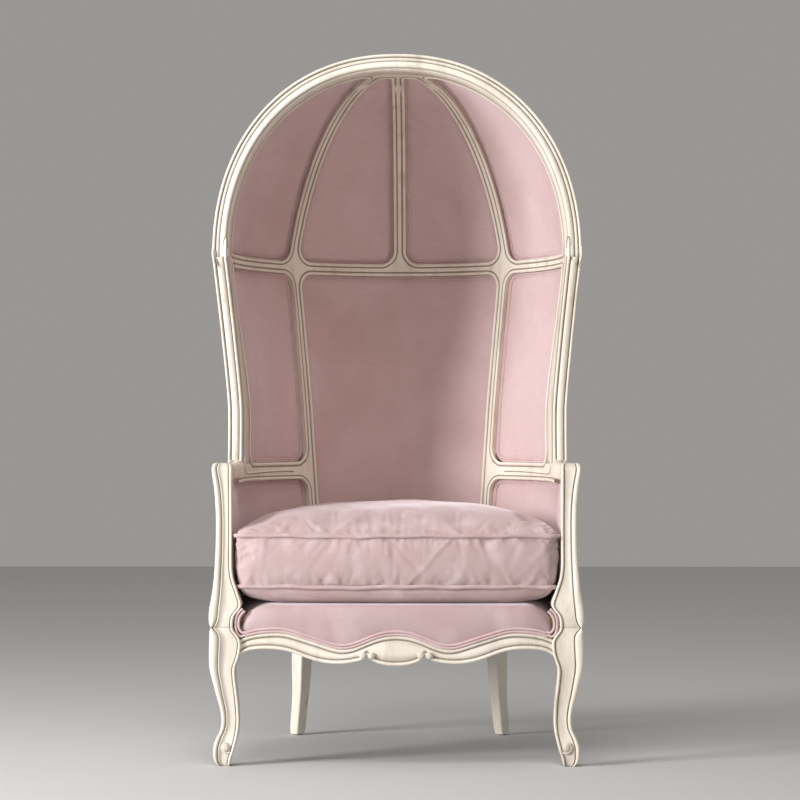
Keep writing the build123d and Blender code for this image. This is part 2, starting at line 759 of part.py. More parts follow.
parts["hood_arch"] = parts["hood_arch"] - dowels["stile_head"] - mirrored(dowels["stile_head"])
add_pair("ring_rail", ring_right - dowels["post_head"])
parts["ring_rail_back"] = ring_back - dowels["post_head"] - mirrored(dowels["post_head"])
front_block -= screws[0]
parts["side_seat_rail_right"] = parts["side_seat_rail_right"] - screws[0]
parts["side_seat_rail_left"] = mirrored(parts["side_seat_rail_right"])
front_rail = front_rail - screws[0] - screws[1]
arm_post -= screws[0]
front_leg -= screws[0]

add_pair("back_post", back_post)
add_pair("wing_stile", wing_stile)
add_pair("arm_rail", arm_rail)
add_pair("arm", arm)
add_pair("arm_post", arm_post)
add_pair("front_leg", front_leg)
add_pair("rear_leg", rear_leg)
parts["front_seat_rail"] = front_rail
parts["seat_deck"] = deck
parts["seat_webbing"] = webbing
parts["seat_springs"] = Compound(children=springs)
parts["dust_cover"] = dust_cover
corner_blocks = [front_block, mirrored(front_block), rear_block, mirrored(rear_block)]
parts["corner_blocks"] = Compound(children=corner_blocks)
parts["corner_screws"] = Compound(children=screws)
all_dowels = [dowels[name] for name in joints]
parts["frame_dowels"] = Compound(children=all_dowels + [mirrored(piece) for piece in all_dowels])

glide_radius = 9
glide_x = knee_half_width - knee_width * (leg_inset_shares[0] + leg_width_shares[0] / 2)
glide_y = leg_front_y + knee_width * (leg_inset_shares[0] * leg_sweep_share + leg_width_shares[0] / 2)
glides = []
for x, y in ((glide_x, glide_y), (rear_leg_foot_x, rear_leg_foot_y)):
    for side in (-1, 1):
        glides.append(Pos(side * x, y, glide_height / 2) * Cylinder(glide_radius, glide_height))
parts["foot_glides"] = Compound(children=glides)

# The upholstery: a pad inside and a cover outside in every window
pad_windows = windows(fit_gap)
under_seat = box_between((-far, -far, 0), (far, far, seat_frame_z + fit_gap))
before_posts = box_between((-far, -far, 0), (far, post_back_y + fit_gap, far))
before_dome = box_between((-far, -far, 0), (far, spring_y + fit_gap, far))
layers = {"pad": (pad_bottom, pad_top), "cover": (cover_top, cover_bottom)}
for layer, (top_depth, low_depth) in layers.items():
    dome_layer = dome(top_depth) - dome(low_depth) - before_dome
    barrel_layer = barrel(top_depth, shell_front_y) - barrel(low_depth, shell_front_y - overrun)
    barrel_layer = barrel_layer - under_seat - before_posts
    side_layer = dome_side(top_depth) - dome_side(low_depth) - before_dome
    add_pair("dome_side_" + layer, largest(side_layer & pad_windows["dome_side"]))
    add_pair("dome_back_" + layer, largest(dome_layer & pad_windows["dome_back"]))
    for panel in ("wing", "arm"):
        add_pair(panel + "_" + layer, largest(barrel_layer & pad_windows[panel]))
    parts["back_" + layer] = largest(barrel_layer & pad_windows["back"])

# The loose seat cushion: a crowned cover with drawn-in sides over a soft core
cushion_side_gap = 5
cushion_back_gap = 2
cushion_set_back = 3
cushion_half_front = arm_post_inner_x - cushion_side_gap
cushion_half_back = half_width(seat_frame_z, frame_thickness) - cushion_side_gap
cushion_front_y = roll_front_y + cushion_set_back
cushion_bow = 10
cushion_back_y = foot_back_y - frame_thickness - cushion_back_gap
cushion_break_y = arm_break_y
cushion_low_z = deck_top_z + soft_gap
cushion_height = 214
cushion_corner = 26
cushion_level_shares = (0, 0.04, 0.155, 0.42, 0.7, 0.83, 0.93, 1)
cushion_inset_shares = (0.24, 0.1, 0, 0.05, 0, 0.14, 0.42, 1)
cushion_crown_inset = 125
core_inset = 24
core_rise = 12
core_height = 168
core_round = 18
closing_half = 180
closing_height = 3


def cushion_section(inset, z):
    """One level outline of the cushion."""
    front_half = cushion_half_front - inset
    back_half = cushion_half_back - inset
    front_y = cushion_front_y + inset
    reach = cushion_back_y - inset - cushion_break_y
    face = make_face([
        ThreePointArc((-front_half, front_y), (0, front_y - cushion_bow), (front_half, front_y)),
        Line((front_half, front_y), (back_half, cushion_break_y)),
        EllipticalCenterArc((0, cushion_break_y), back_half, reach, 0, arc_size=quarter_turn),
        EllipticalCenterArc((0, cushion_break_y), back_half, reach, quarter_turn, arc_size=quarter_turn),
        Line((-back_half, cushion_break_y), (-front_half, front_y)),
    ])
    corners = [v for v in face.vertices() if v.Y < cushion_break_y - overrun]
    return Pos(0, 0, z) * fillet(corners, radius=cushion_corner)


cushion_sections = []
for level_share, inset_share in zip(cushion_level_shares, cushion_inset_shares):
    level = cushion_low_z + cushion_height * level_share
    cushion_sections.append(cushion_section(cushion_crown_inset * inset_share, level))
cushion_form = loft(cushion_sections)
core_low_z = cushion_low_z + core_rise
cushion_core = extrude(cushion_section(core_inset, core_low_z), amount=core_height)
core_rims = cushion_core.faces().sort_by(Axis.Z)
cushion_core = fillet(core_rims[0].edges() + core_rims[-1].edges(), radius=core_round)
cushion_middle_z = cushion_low_z + cushion_height / 2
closing = box_between((-closing_half, cushion_back_y - overrun, cushion_middle_z),
                      (closing_half, far, cushion_middle_z + closing_height))
parts["cushion_cover"] = largest(cushion_form - cushion_core - closing)
parts["cushion_core"] = cushion_core

os.makedirs("parts", exist_ok=True)
for name, shape in parts.items():
    export_step(shape, os.path.join("parts", name + ".step"))
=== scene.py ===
from math import cos, pi, radians, sin

import bpy
import numpy as np
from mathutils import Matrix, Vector


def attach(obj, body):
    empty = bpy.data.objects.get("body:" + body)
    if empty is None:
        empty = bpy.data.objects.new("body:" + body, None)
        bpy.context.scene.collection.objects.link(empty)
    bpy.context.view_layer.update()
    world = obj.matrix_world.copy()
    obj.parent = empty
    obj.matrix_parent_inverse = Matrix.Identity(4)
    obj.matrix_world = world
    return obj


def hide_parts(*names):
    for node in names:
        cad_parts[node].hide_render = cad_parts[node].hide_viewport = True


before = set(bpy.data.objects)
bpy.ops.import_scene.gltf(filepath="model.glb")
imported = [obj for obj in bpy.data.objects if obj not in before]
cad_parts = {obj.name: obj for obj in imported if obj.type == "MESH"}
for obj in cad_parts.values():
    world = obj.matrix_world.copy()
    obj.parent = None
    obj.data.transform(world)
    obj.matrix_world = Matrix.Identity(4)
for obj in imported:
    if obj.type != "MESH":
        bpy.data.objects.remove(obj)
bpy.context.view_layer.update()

# The frame's plain members: ring, ribs, crown, posts, arm rails, seat rails and rear legs.
# They are hardwood, joined with dowels, painted cream, rubbed through at the edges and
# wiped with a brown glaze that stays in the grooves.
mm = 0.001
paint_light = (0.83, 0.77, 0.67, 1)
paint_worn = (0.62, 0.54, 0.43, 1)
# The dark brown is the glaze left in the grooves, and also painted shade: under the knobs, on the flat groove
# bands round the windows and on the thin raised cut lines.
glaze_and_shade_brown = (0.16, 0.12, 0.085, 1)
wiped_glaze = (0.40, 0.32, 0.23, 1)
bare_edge = (0.42, 0.32, 0.22, 1)


def set_inputs(node, inputs):
    """Values for a shader node's inputs, by name with _ for a space."""
    for name, value in inputs.items():
        node.inputs[name.replace("_", " ")].default_value = value


def node_of(material, kind, **inputs):
    """One shader node with its inputs set."""
    node = material.node_tree.nodes.new(kind)
    set_inputs(node, inputs)
    return node


def join(material, start, outlet, end, inlet):
    """A link between two shader nodes."""
    material.node_tree.links.new(start.outputs[outlet], end.inputs[inlet])


def new_finish(name, **inputs):
    """A material with its main shader, ready for colour and bump."""
    material = bpy.data.materials.new(name)
    material.use_nodes = True
    shader = material.node_tree.nodes["Principled BSDF"]
    set_inputs(shader, inputs)
    return material, shader


def speckle(material, size, detail, low, high, stretch=(1, 1, 1)):
    """A noise pattern on the piece's own coordinates, as a mask between two noise levels."""
    place = node_of(material, "ShaderNodeTexCoord")
    shape = node_of(material, "ShaderNodeMapping", Scale=stretch)
    pattern = node_of(material, "ShaderNodeTexNoise", Scale=size, Detail=detail)
    ramp = node_of(material, "ShaderNodeMapRange", From_Min=low, From_Max=high)
    join(material, place, "Object", shape, "Vector")
    join(material, shape, "Vector", pattern, "Vector")
    join(material, pattern, "Fac", ramp, "Value")
    return ramp


def tint(material, under, mask, colour, strength, outlet="Result"):
    """A colour laid over another where a mask lets it."""
    share = node_of(material, "ShaderNodeMath")
    share.operation = "MULTIPLY"
    share.inputs[1].default_value = strength
    join(material, mask, outlet, share, 0)
    mix = node_of(material, "ShaderNodeMix")
    mix.data_type = "RGBA"
    mix.inputs["B"].default_value = colour
    join(material, share, "Value", mix, "Factor")
    if isinstance(under, tuple):
        mix.inputs["A"].default_value = under
    else:
        join(material, under, "Result", mix, "A")
    return mix


def layered(material, colour, layers):
    """A base colour with others laid over it, each where its own noise lets it."""
    for noise, over, strength in layers:
        colour = tint(material, colour, speckle(material, *noise), over, strength)
    return colour


def raised(material, shader, noise, strength, distance):
    """A fine bump from a noise pattern."""
    bump = node_of(material, "ShaderNodeBump", Strength=strength, Distance=distance)
    join(material, speckle(material, *noise), "Result", bump, "Height")
    join(material, bump, "Normal", shader, "Normal")


# Worn patches, streaks along the grain, smears of glaze and specks of bare wood
paint_layers = (
    ((9, 6, 0.44, 0.68, (1, 1, 0.35)), paint_worn, 0.42),
    ((70, 4, 0.56, 0.7, (1, 1, 0.12)), paint_worn, 0.4),
    ((26, 5, 0.55, 0.78, (1, 1, 0.3)), wiped_glaze, 0.55),
    ((330, 2, 0.69, 0.74), bare_edge, 0.55),
)
wood_grain = (160, 5, 0.3, 0.7, (1, 1, 0.1))


def painted_wood(name, has_glaze_and_shade):
    """Cream paint, rubbed and glazed, over turned and carved wood; on carved pieces the dark brown also lays
    painted shade.
    """
    material, shader = new_finish(name, Roughness=0.52)
    colour = layered(material, paint_light, paint_layers)
    if has_glaze_and_shade:
        # Per-point mask: glaze in the carved grooves, and painted shade where carved pieces are darkened for
        # it.
        glaze_and_shade_mask = node_of(material, "ShaderNodeAttribute")
        glaze_and_shade_mask.attribute_name = "glaze_and_shade"
        colour = tint(material, colour, glaze_and_shade_mask, glaze_and_shade_brown, 0.82, "Fac")
    join(material, colour, "Result", shader, "Base Color")
    raised(material, shader, wood_grain, 0.25, 0.0012)
    return material


plain_paint = painted_wood("cream_paint", False)
carved_paint = painted_wood("glazed_and_shaded_cream_paint", True)


def finish_nodes(names, material):
    """The same finish on several of the frame's own pieces."""
    for name in names:
        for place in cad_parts[name].material_slots:
            place.material = material


hands = (("right", 1), ("left", -1))
finish_nodes(["ring_rail_back", "crown_block", "dome_rib_center", "rear_seat_rail"], plain_paint)
for member in ("ring_rail", "dome_rib", "back_post", "arm_rail", "side_seat_rail", "rear_leg"):
    finish_nodes([member + "_" + side for side, flip in hands], plain_paint)

# The bead and groove run round every window of the frame, inside and outside.
# They are worked in the solid wood: a raised half-round at the window's edge, then a narrow
# groove that holds the glaze, then the flat middle of the rail or post. The groove is drawn as a
# flat band raised a little off the wood and painted dark brown: glaze and painted shade for its hollow.
chair_height = 1650
hood_half_width = 432
hood_front_y = -250
hood_back_y = 385
hood_fullness = 2.17
ring_z = 1175
spring_y = -165
waist_z = 820
waist_half_width = 404
foot_back_y = 362
frame_thickness = 38
half_member = 15
seat_frame_z = 376
arm_top_z = 690
arm_bottom_z = 648
post_back_y = -330
flare_power = 1.2
hood_reach = hood_back_y - spring_y
foot_reach = foot_back_y - spring_y
hood_rise = chair_height - ring_z
corner_radius = 34
crown_corner_radius = 8
crown_depth = 55
stile_depth = 80
stile_front_ys = (-135, -127, -140, -172, -214, hood_front_y)
stile_front_shares = (0, 0.19, 0.41, 0.61, 0.82, 1)
straight_run = 600
plan_quarter = 650


def half_width(z, depth):
    """Half the width of the shell at a height, below its outer face."""
    share = np.maximum(z - waist_z, 0) / (ring_z - waist_z)
    return waist_half_width + (hood_half_width - waist_half_width) * share ** flare_power - depth


def back_reach(z, depth):
    """How far the shell reaches behind the spring line at a height."""
    share = (z - seat_frame_z) / (ring_z - seat_frame_z)
    return foot_reach + (hood_reach - foot_reach) * share - depth


def shell_point(run, z, depth):
    """A place on the lower shell, by its run along the plan from the middle of the back."""
    quarter = run / plan_quarter
    turn = np.clip(quarter, -1, 1) * pi / 2
    x = half_width(z, depth) * np.sin(turn)
    y = spring_y + back_reach(z, depth) * np.cos(turn)
    y = y - np.maximum(np.abs(quarter) - 1, 0) * straight_run
    return np.stack([x, y, z + 0 * x], -1)


def dome_point(way, depth):
    """A place on the dome in a direction from the middle of the spring line."""
    half = hood_half_width - depth
    reach = hood_reach - depth
    rise = hood_rise - depth
    flat = ((way[..., 0] / half) ** 2 + (way[..., 1] / reach) ** 2) ** (hood_fullness / 2)
    size = (flat + np.abs(way[..., 2] / rise) ** hood_fullness) ** (-1 / hood_fullness)
    return way * size[..., None] + np.array([0, spring_y, ring_z])


def smooth_through(knots, values, at):
    """A natural cubic through a few values."""
    knots = np.asarray(knots, float)
    values = np.asarray(values, float)
    steps = np.diff(knots)
    slopes = np.diff(values) / steps
    size = len(knots)
    grid = np.eye(size)
    right = np.zeros(size)
    for i in range(1, size - 1):
        grid[i, i - 1:i + 2] = (steps[i - 1], 2 * (steps[i - 1] + steps[i]), steps[i])
        right[i] = 6 * (slopes[i] - slopes[i - 1])
    bends = np.linalg.solve(grid, right)
    at = np.asarray(at, float)
    cell = np.clip(np.searchsorted(knots, at) - 1, 0, size - 2)
    step = steps[cell]
    before = at - knots[cell]
    after = knots[cell + 1] - at
    bent = (bends[cell] * after ** 3 + bends[cell + 1] * before ** 3) / (6 * step)
    first = (values[cell] / step - bends[cell] * step / 6) * after
    second = (values[cell + 1] / step - bends[cell + 1] * step / 6) * before
    return bent + first + second


stile_zs = np.array(stile_front_shares) * (ring_z - arm_top_z) + arm_top_z


def wing_front(z):
    """The front edge of a wing at a height, a smooth line through its measured places."""
    return smooth_through(stile_zs, stile_front_ys, z)


star_x = 273
post_foot_x = 214
rib_turn = radians(21.5)
rib_lean = radians(9.6)
half_thickness = frame_thickness / 2


def middle_y(x, z):
    """How far back the middle of the shell lies at a place seen from the front."""
    return spring_y + back_reach(z, half_thickness) * (1 - (x / half_width(z, half_thickness)) ** 2) ** 0.5


# Ribs, ring and back posts meet at a star point on each side
star = np.array([star_x, middle_y(star_x, ring_z), ring_z])
post_foot = np.array([post_foot_x, middle_y(post_foot_x, seat_frame_z), seat_frame_z])
rib_normal = np.array([cos(rib_turn) * cos(rib_lean), -sin(rib_turn) * cos(rib_lean), sin(rib_lean)])
star_out = np.array([star[0] / half_width(ring_z, half_thickness) ** 2,
                     (star[1] - spring_y) / back_reach(ring_z, half_thickness) ** 2, 0])
post_normal = np.cross(star_out, star - post_foot)
post_normal = post_normal / np.linalg.norm(post_normal)
post_normal = post_normal * np.sign(post_normal[0])
mirror_x = np.array([-1, 1, 1])


def wall(point, normal, inset=0):
    """A straight side of a window: how far a place lies inside it, and which way is in."""
    normal = np.array(normal, float)
    point = np.array(point, float) + normal * inset
    return lambda places: ((places - point) @ normal, np.broadcast_to(normal, places.shape))


def wing_wall(places):
    """The swept front side of a wing window."""
    slope = (wing_front(places[..., 2] + 1) - wing_front(places[..., 2] - 1)) / 2
    lean = 1 / np.sqrt(1 + slope ** 2)
    inside = (places[..., 1] - wing_front(places[..., 2]) - stile_depth) * lean
    return inside, np.stack([0 * lean, lean, -slope * lean], -1)


def new_window(walls, middle, corners, crown_corners=()):
    """A window of the frame: its sides, a place in it and which sides meet in a rounded corner."""
    rounds = [(first, second, corner_radius) for first, second in corners]
    rounds += [(first, second, crown_corner_radius) for first, second in crown_corners]
    return {"walls": walls, "middle": middle, "corners": rounds}


up = (0, 0, 1)
down = (0, 0, -1)
backwards = (0, 1, 0)
post_wall = wall(star, post_normal, half_member)
above_ring = wall((0, 0, ring_z), up, half_member)
below_ring = wall((0, 0, ring_z), down, half_member)
above_seat = wall((0, 0, seat_frame_z), up)
windows = {
    "dome_side": new_window(
        [wall(star, rib_normal, half_member), above_ring, wall((0, spring_y, 0), backwards)],
        (350, 150, 200), [(0, 1), (1, 2), (0, 2)]),
    "dome_back": new_window(
        [wall(star, -rib_normal, half_member), above_ring, wall((0, 0, 0), (1, 0, 0), half_member),
         wall((0, spring_y + crown_depth, 0), backwards)],
        (140, 400, 210), [(0, 1), (1, 2)], [(2, 3), (3, 0)]),
    "wing": new_window(
        [post_wall, below_ring, wall((0, 0, arm_top_z), up), wing_wall],
        (0.69 * plan_quarter, 930), [(0, 1), (0, 2), (1, 3), (2, 3)]),
    "arm": new_window(
        [post_wall, wall((0, 0, arm_bottom_z), down), above_seat, wall((0, post_back_y, 0), backwards)],
        (0.82 * plan_quarter, 512), [(0, 1)]),
    "back": new_window(
        [wall(star, -post_normal, half_member), wall(star * mirror_x, -post_normal * mirror_x, half_member),
         below_ring, above_seat],
        (0, 780), [(0, 2), (1, 2)]),
}


def depth_inside(window, places):
    """How far places lie inside the rounded edge of a window."""
    found = [side(places) for side in window["walls"]]
    result = np.min([inside for inside, normal in found], axis=0)
    for first, second, radius in window["corners"]:
        short_a = radius - found[first][0]
        short_b = radius - found[second][0]
        lean = np.sum(found[first][1] * found[second][1], -1)
        in_corner = (short_a - lean * short_b > 0) & (short_b - lean * short_a > 0)
        away = np.maximum(short_a ** 2 + short_b ** 2 - 2 * lean * short_a * short_b, 0) / (1 - lean ** 2)
        result = np.where(in_corner, np.minimum(result, radius - np.sqrt(away)), result)
    return result


def crown_share(window, places, softness):
    """From 0 at the edge of a window to nearly 1 at its middle, smooth all over."""
    share = 1
    for side in window["walls"]:
        share = share * (1 - np.exp(-np.maximum(side(places)[0], 0) / softness))
    return share


def window_place(window, turn, run, depth):
    """A place reached from the middle of a window by a turn and a run along the shell."""
    middle = window["middle"]
    if len(middle) == 2:
        return shell_point(middle[0] + run * np.cos(turn), middle[1] + run * np.sin(turn), depth)
    way = np.array(middle, float)
    way = way / np.linalg.norm(way)
    across = np.cross(up, way)
    across = across / np.linalg.norm(across)
    rising = np.cross(way, across)
    angle = run / hood_half_width
    aside = np.cos(turn)[..., None] * across + np.sin(turn)[..., None] * rising
    return dome_point(np.cos(angle)[..., None] * way + np.sin(angle)[..., None] * aside, depth)


search_steps = 44
longest_run = 1000.0
edge_samples = 1441


def edge_run(window, turn, inset, depth):
    """How far to run from the middle of a window to reach an inset from its edge."""
    near = np.zeros_like(turn)
    far = np.full_like(turn, longest_run)
    for step in range(search_steps):
        half = (near + far) / 2
        inside = depth_inside(window, window_place(window, turn, half, depth)) > inset
        near = np.where(inside, half, near)
        far = np.where(inside, far, half)
    return near


def distances(points):
    """How far along a line each of its places is."""
    return np.concatenate([[0], np.cumsum(np.linalg.norm(np.diff(points, axis=0), axis=1))])


def even_turns(window, count):
    """Turns that space places evenly along the edge of a window."""
    turn = np.linspace(0, 2 * pi, edge_samples)
    edge = window_place(window, turn, edge_run(window, turn, 0, half_thickness), half_thickness)
    travelled = distances(edge)
    return np.interp(np.linspace(0, travelled[-1], count + 1)[:-1], travelled, turn)


def grid_faces(rows, columns, closed_rows, closed_columns=True):
    """Four-sided faces between rows of places; rows and columns can close on themselves."""
    faces = []
    for row in range(rows if closed_rows else rows - 1):
        after = (row + 1) % rows
        for column in range(columns if closed_columns else columns - 1):
            beside = (column + 1) % columns
            faces.append((row * columns + column, row * columns + beside,
                          after * columns + beside, after * columns + column))
    return faces


def new_piece(name, places, faces, material, body="chair", glaze_and_shade=None):
    """A piece of the chair from places in millimetres, riding on its body."""
    mesh = bpy.data.meshes.new(name)
    mesh.from_pydata((np.asarray(places, float).reshape(-1, 3) * mm).tolist(), [], faces)
    mesh.materials.append(material)
    if glaze_and_shade is not None:
        layer = mesh.attributes.new("glaze_and_shade", "FLOAT", "POINT")
        layer.data.foreach_set("value", np.asarray(glaze_and_shade, float).ravel())
    mesh.polygons.foreach_set("use_smooth", [len(face) < 5 for face in faces])
    mesh.update()
    piece = bpy.data.objects.new(name, mesh)
    bpy.context.collection.objects.link(piece)
    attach(piece, body)
    return piece


def hand(places, faces, flip):
    """Places and faces of a right-hand piece, or of its mirror twin."""
    if flip > 0:
        return places, faces
    return places * mirror_x, [face[::-1] for face in faces]


def window_sides(name):
    """The ending of a name and the direction for each side that has this window."""
    return (("", 1),) if name == "back" else (("_right", 1), ("_left", -1))


loop_count = 260
window_turns = {name: even_turns(window, loop_count) for name, window in windows.items()}
post_gap = 10


def window_strip(name, part, section, material, glaze_and_shade=None, front_open=False):
    """A strip round a window: open moulding with its glazing and painted shade, or a closed cord."""
    window = windows[name]
    turns = window_turns[name]
    rings = np.array([window_place(window, turns, edge_run(window, turns, inset, depth), depth)
                      for inset, depth in section])
    faces = grid_faces(len(section), loop_count, glaze_and_shade is None)
    if front_open:
        held = (rings[0, :, 1] > post_back_y + post_gap) & (rings[0, :, 2] > seat_frame_z + post_gap)
        faces = [face for face in faces if all(held[corner % loop_count] for corner in face)]
    shade = None if glaze_and_shade is None else np.repeat(glaze_and_shade, loop_count)
    for ending, flip in window_sides(name):
        places, turned = hand(rings.reshape(-1, 3), faces, flip)
        new_piece(name + ending + "_" + part, places, turned, material, glaze_and_shade=shade)


bead_width = 7.6
bead_height = 2.8
bead_edge = 0.4
groove_width = 2.8
groove_start = -bead_width - 0.5
groove_end = -bead_width - groove_width
groove_lift = 0.8
bead_turns = np.linspace(0, pi, 7)
moulding = [(bead_edge, -1)]
moulding += [(bead_edge - bead_width * (1 - np.cos(turn)) / 2, 0.1 + bead_height * np.sin(turn))
             for turn in bead_turns]
moulding += [(groove_start, groove_lift), (groove_end, groove_lift), (groove_end - 0.6, -0.5)]
# Glaze and painted shade: dark at the bead's foot and on the flat groove band, which stands in for the
# groove's hollow.
moulding_glaze_and_shade = [0.1, 0.5, 0, 0, 0, 0, 0.1, 0.9, 1, 1, 0.2]
for name in windows:
    for part, base, way in (("inner_bead", frame_thickness, 1), ("outer_bead", 0, -1)):
        section = [(inset, base + way * lift) for inset, lift in moulding]
        window_strip(name, part, section, carved_paint, moulding_glaze_and_shade, front_open=way > 0)

# The padded panels fill the windows: velvet stretched over thin stuffing, inside and out,
# tacked to the frame and crowned a little in the middle. Each edge is finished with a
# double welt, two thin velvet-covered cords glued side by side over the tacks.
velvet_light = (0.65, 0.49, 0.48, 1)
velvet_deep = (0.44, 0.29, 0.27, 1)
velvet_bloom = (0.78, 0.64, 0.67, 1)
welt_pink = (0.64, 0.47, 0.46, 1)


def velvet(name, base, bloom_strength, patch_size):
    """Cotton velvet: a short pile that lies in soft lighter and darker patches."""
    material, shader = new_finish(name, Roughness=0.86, Specular_IOR_Level=0.2, Sheen_Weight=0.7,
                                  Sheen_Roughness=0.4, Sheen_Tint=(0.95, 0.88, 0.92, 1))
    colour = layered(material, base, (
        ((patch_size, 5, 0.45, 0.7), velvet_deep, 0.35),
        ((patch_size * 1.7, 4, 0.5, 0.75, (1, 1, 0.6)), velvet_bloom, bloom_strength),
        ((240, 3, 0.35, 0.7, (0.12, 0.12, 1)), velvet_deep, 0.16),
    ))
    join(material, colour, "Result", shader, "Base Color")
    raised(material, shader, (900, 3, 0.2, 0.8), 0.3, 0.0008)
    return material


panel_velvet = velvet("panel_velvet", velvet_light, 0.25, 5)
welt_velvet = velvet("welt_velvet", welt_pink, 0.2, 20)

welt_radius = 2.7
welt_insets = (2.9, 8.3)
welt_sink = 2
welt_turns = np.linspace(0, 2 * pi, 9)[:-1]
panel_edge = 9.5
close_insets = (panel_edge, 10.5, 13, 17, 25)
inner_steps = 11
back_steps = 4
middle_share = 0.02
crown_softness = 60
pad_depth = 23
pad_swell = 9
pad_back = 15
pad_rounding = 3
rounding_run = 4
cover_depth = 6
cover_swell = 5
cover_back = 11


def tube_faces(rows, columns):
    """Faces between rings of places, and one face over the first ring and over the last."""
    faces = grid_faces(rows, columns, False)
    faces.append(tuple(range(columns))[::-1])
    faces.append(tuple((rows - 1) * columns + column for column in range(columns)))
    return faces


def panel(name, part, edge_depth, lift, swell, back_depth, node):
    """The pad of a window, from the middle of its back, round the edge, to its crown."""
    window = windows[name]
    turns = window_turns[name]
    back_run = edge_run(window, turns, panel_edge, back_depth)
    rings = [window_place(window, turns, back_run * share, back_depth)
             for share in np.linspace(middle_share, 1, back_steps)]
    runs = [edge_run(window, turns, inset, edge_depth) for inset in close_insets]
    runs += [runs[-1] * share for share in np.linspace(1, middle_share, inner_steps)[1:]]
    for run in runs:
        flat = window_place(window, turns, run, edge_depth)
        inside = np.maximum(depth_inside(window, flat) - panel_edge, 0)
        rise = pad_rounding * (1 - np.exp(-inside / rounding_run))
        rise = rise + swell * crown_share(window, flat, crown_softness)
        rings.append(window_place(window, turns, run, edge_depth + lift * rise))
    faces = tube_faces(len(rings), loop_count)
    if lift < 0:
        faces = [face[::-1] for face in faces]
    for ending, flip in window_sides(name):
        places, turned = hand(np.array(rings).reshape(-1, 3), faces, flip)
        piece = new_piece(name + ending + "_" + part, places, turned, panel_velvet)
        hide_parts(name + "_" + node + ending)


for name in windows:
    panel(name, "inner_panel", pad_depth, 1, pad_swell, pad_back, "pad")
    panel(name, "outer_panel", cover_depth, -1, cover_swell, cover_back, "cover")
    for part, base, way in (("inner_welt_", pad_depth + welt_sink, 1),
                            ("outer_welt_", cover_depth - welt_sink, -1)):
        for letter, inset in zip("ab", welt_insets):
            section = [(inset + welt_radius * np.cos(turn), base + way * welt_radius * np.sin(turn))
                       for turn in welt_turns]
            window_strip(name, part + letter, section, welt_velvet)

# The front arch and the wings' front edges are one run of carved moulding: a thin bead
# outside, a glazed groove, a narrow fillet and a broad roll, worked on three pieces of
# hardwood that meet at the spring of the hood and at the arms.
arch_depth = 85
hood_steps = 150
hood_samples = 4001
wing_steps = 60
roll_turns = np.linspace(0, pi, 9)
outer_bead = [(0, 1.0), (0, 6), (0, 3.2), (0.9, 0.9), (3.1, 0), (5.4, 0.9), (6.3, 3.2), (7.0, 5.6)]
inner_face = [(38, 14), (38, 40), (38, 1.0), (20, 1.0)]
front_section = outer_bead + [(8.4, 5.6), (9.0, 3.4), (11.2, 3.0), (15.2, 3.0), (15.9, 5.0), (16.9, 5.0)]
front_section += [(24.4 - 7 * np.cos(turn), 4 - 4 * np.sin(turn)) for turn in roll_turns]
front_section += [(32.3, 5.8), (33.6, 6.4), (36.5, 9.5)] + inner_face
front_glaze = [0.1, 0.1, 0.15, 0, 0, 0.1, 0.4, 1, 1, 0.5, 0.05, 0.2, 1, 1]
front_glaze += [0.5, 0.1, 0, 0, 0, 0, 0.1, 0.25, 0.7, 0.9, 0.3, 0.15, 0.1, 0.1, 0.1, 0.1]
wing_section = outer_bead + [(8.2, 5.6)]
wing_section += [(17 - 8 * np.cos(turn), 4 - 4 * np.sin(turn)) for turn in roll_turns]
wing_section += [(25.5, 5.4), (26.7, 5.4)]
wing_section += [(30.4 - 3.2 * np.cos(turn), 4 - 3.4 * np.sin(turn)) for turn in bead_turns]
wing_section += [(34.2, 5.6), (35.6, 6.4), (37.4, 9.5)] + inner_face
wing_glaze = [0.1, 0.1, 0.15, 0, 0, 0.1, 0.4, 1, 1, 0.5, 0.1, 0, 0, 0, 0, 0, 0.1, 0.5, 1, 1]
wing_glaze += [0.3, 0, 0, 0, 0, 0, 0.3, 1, 0.9, 0.3, 0.15, 0.1, 0.1, 0.1]


def hood_line(angles, depth):
    """The outline of the hood seen from the front, from the right spring over the top."""
    half = hood_half_width - depth
    rise = hood_rise - depth
    across = np.cos(angles)
    x = half * np.sign(across) * np.abs(across) ** (2 / hood_fullness)
    z = ring_z + rise * np.abs(np.sin(angles)) ** (2 / hood_fullness)
    return x, z


def even_angles(count):
    """Angles that space places evenly over the hood."""
    angles = np.linspace(0, pi, hood_samples)
    x, z = hood_line(angles, 0)
    travelled = np.concatenate([[0], np.cumsum(np.hypot(np.diff(x), np.diff(z)))])
    return np.interp(np.linspace(0, travelled[-1], count), travelled, angles)


def strip_faces(rows, columns):
    """Faces of a run whose rows close round it, and one face over each of its ends."""
    faces = grid_faces(rows, columns, True, False)
    faces.append(tuple(row * columns for row in range(rows)))
    faces.append(tuple(row * columns + columns - 1 for row in range(rows))[::-1])
    return faces


def moulded_run(section, section_glaze, line, length):
    """A run of the front moulding; line gives the places at a depth and a setback."""
    back_points = (0, len(section) - 2, len(section) - 1)
    rings = np.array([line(depth, length if index in back_points else back)
                      for index, (depth, back) in enumerate(section)])
    rows, columns = rings.shape[:2]
    return rings.reshape(-1, 3), strip_faces(rows, columns), np.repeat(section_glaze, columns)


def carved(name, shape, node=None, flip=1):
    """A carved piece of the frame, which may stand for one of its solids."""
    places, faces = hand(shape[0], shape[1], flip)
    piece = new_piece(name, places, faces, carved_paint, glaze_and_shade=shape[2])
    if node:
        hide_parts(node)


def carved_pair(name, shape, node=None):
    """A carved piece on each side of the chair."""
    for side, flip in hands:
        carved(name + side, shape, node and node + side, flip)


arch_angles = even_angles(hood_steps)
wing_zs = np.linspace(arm_top_z, ring_z, wing_steps)


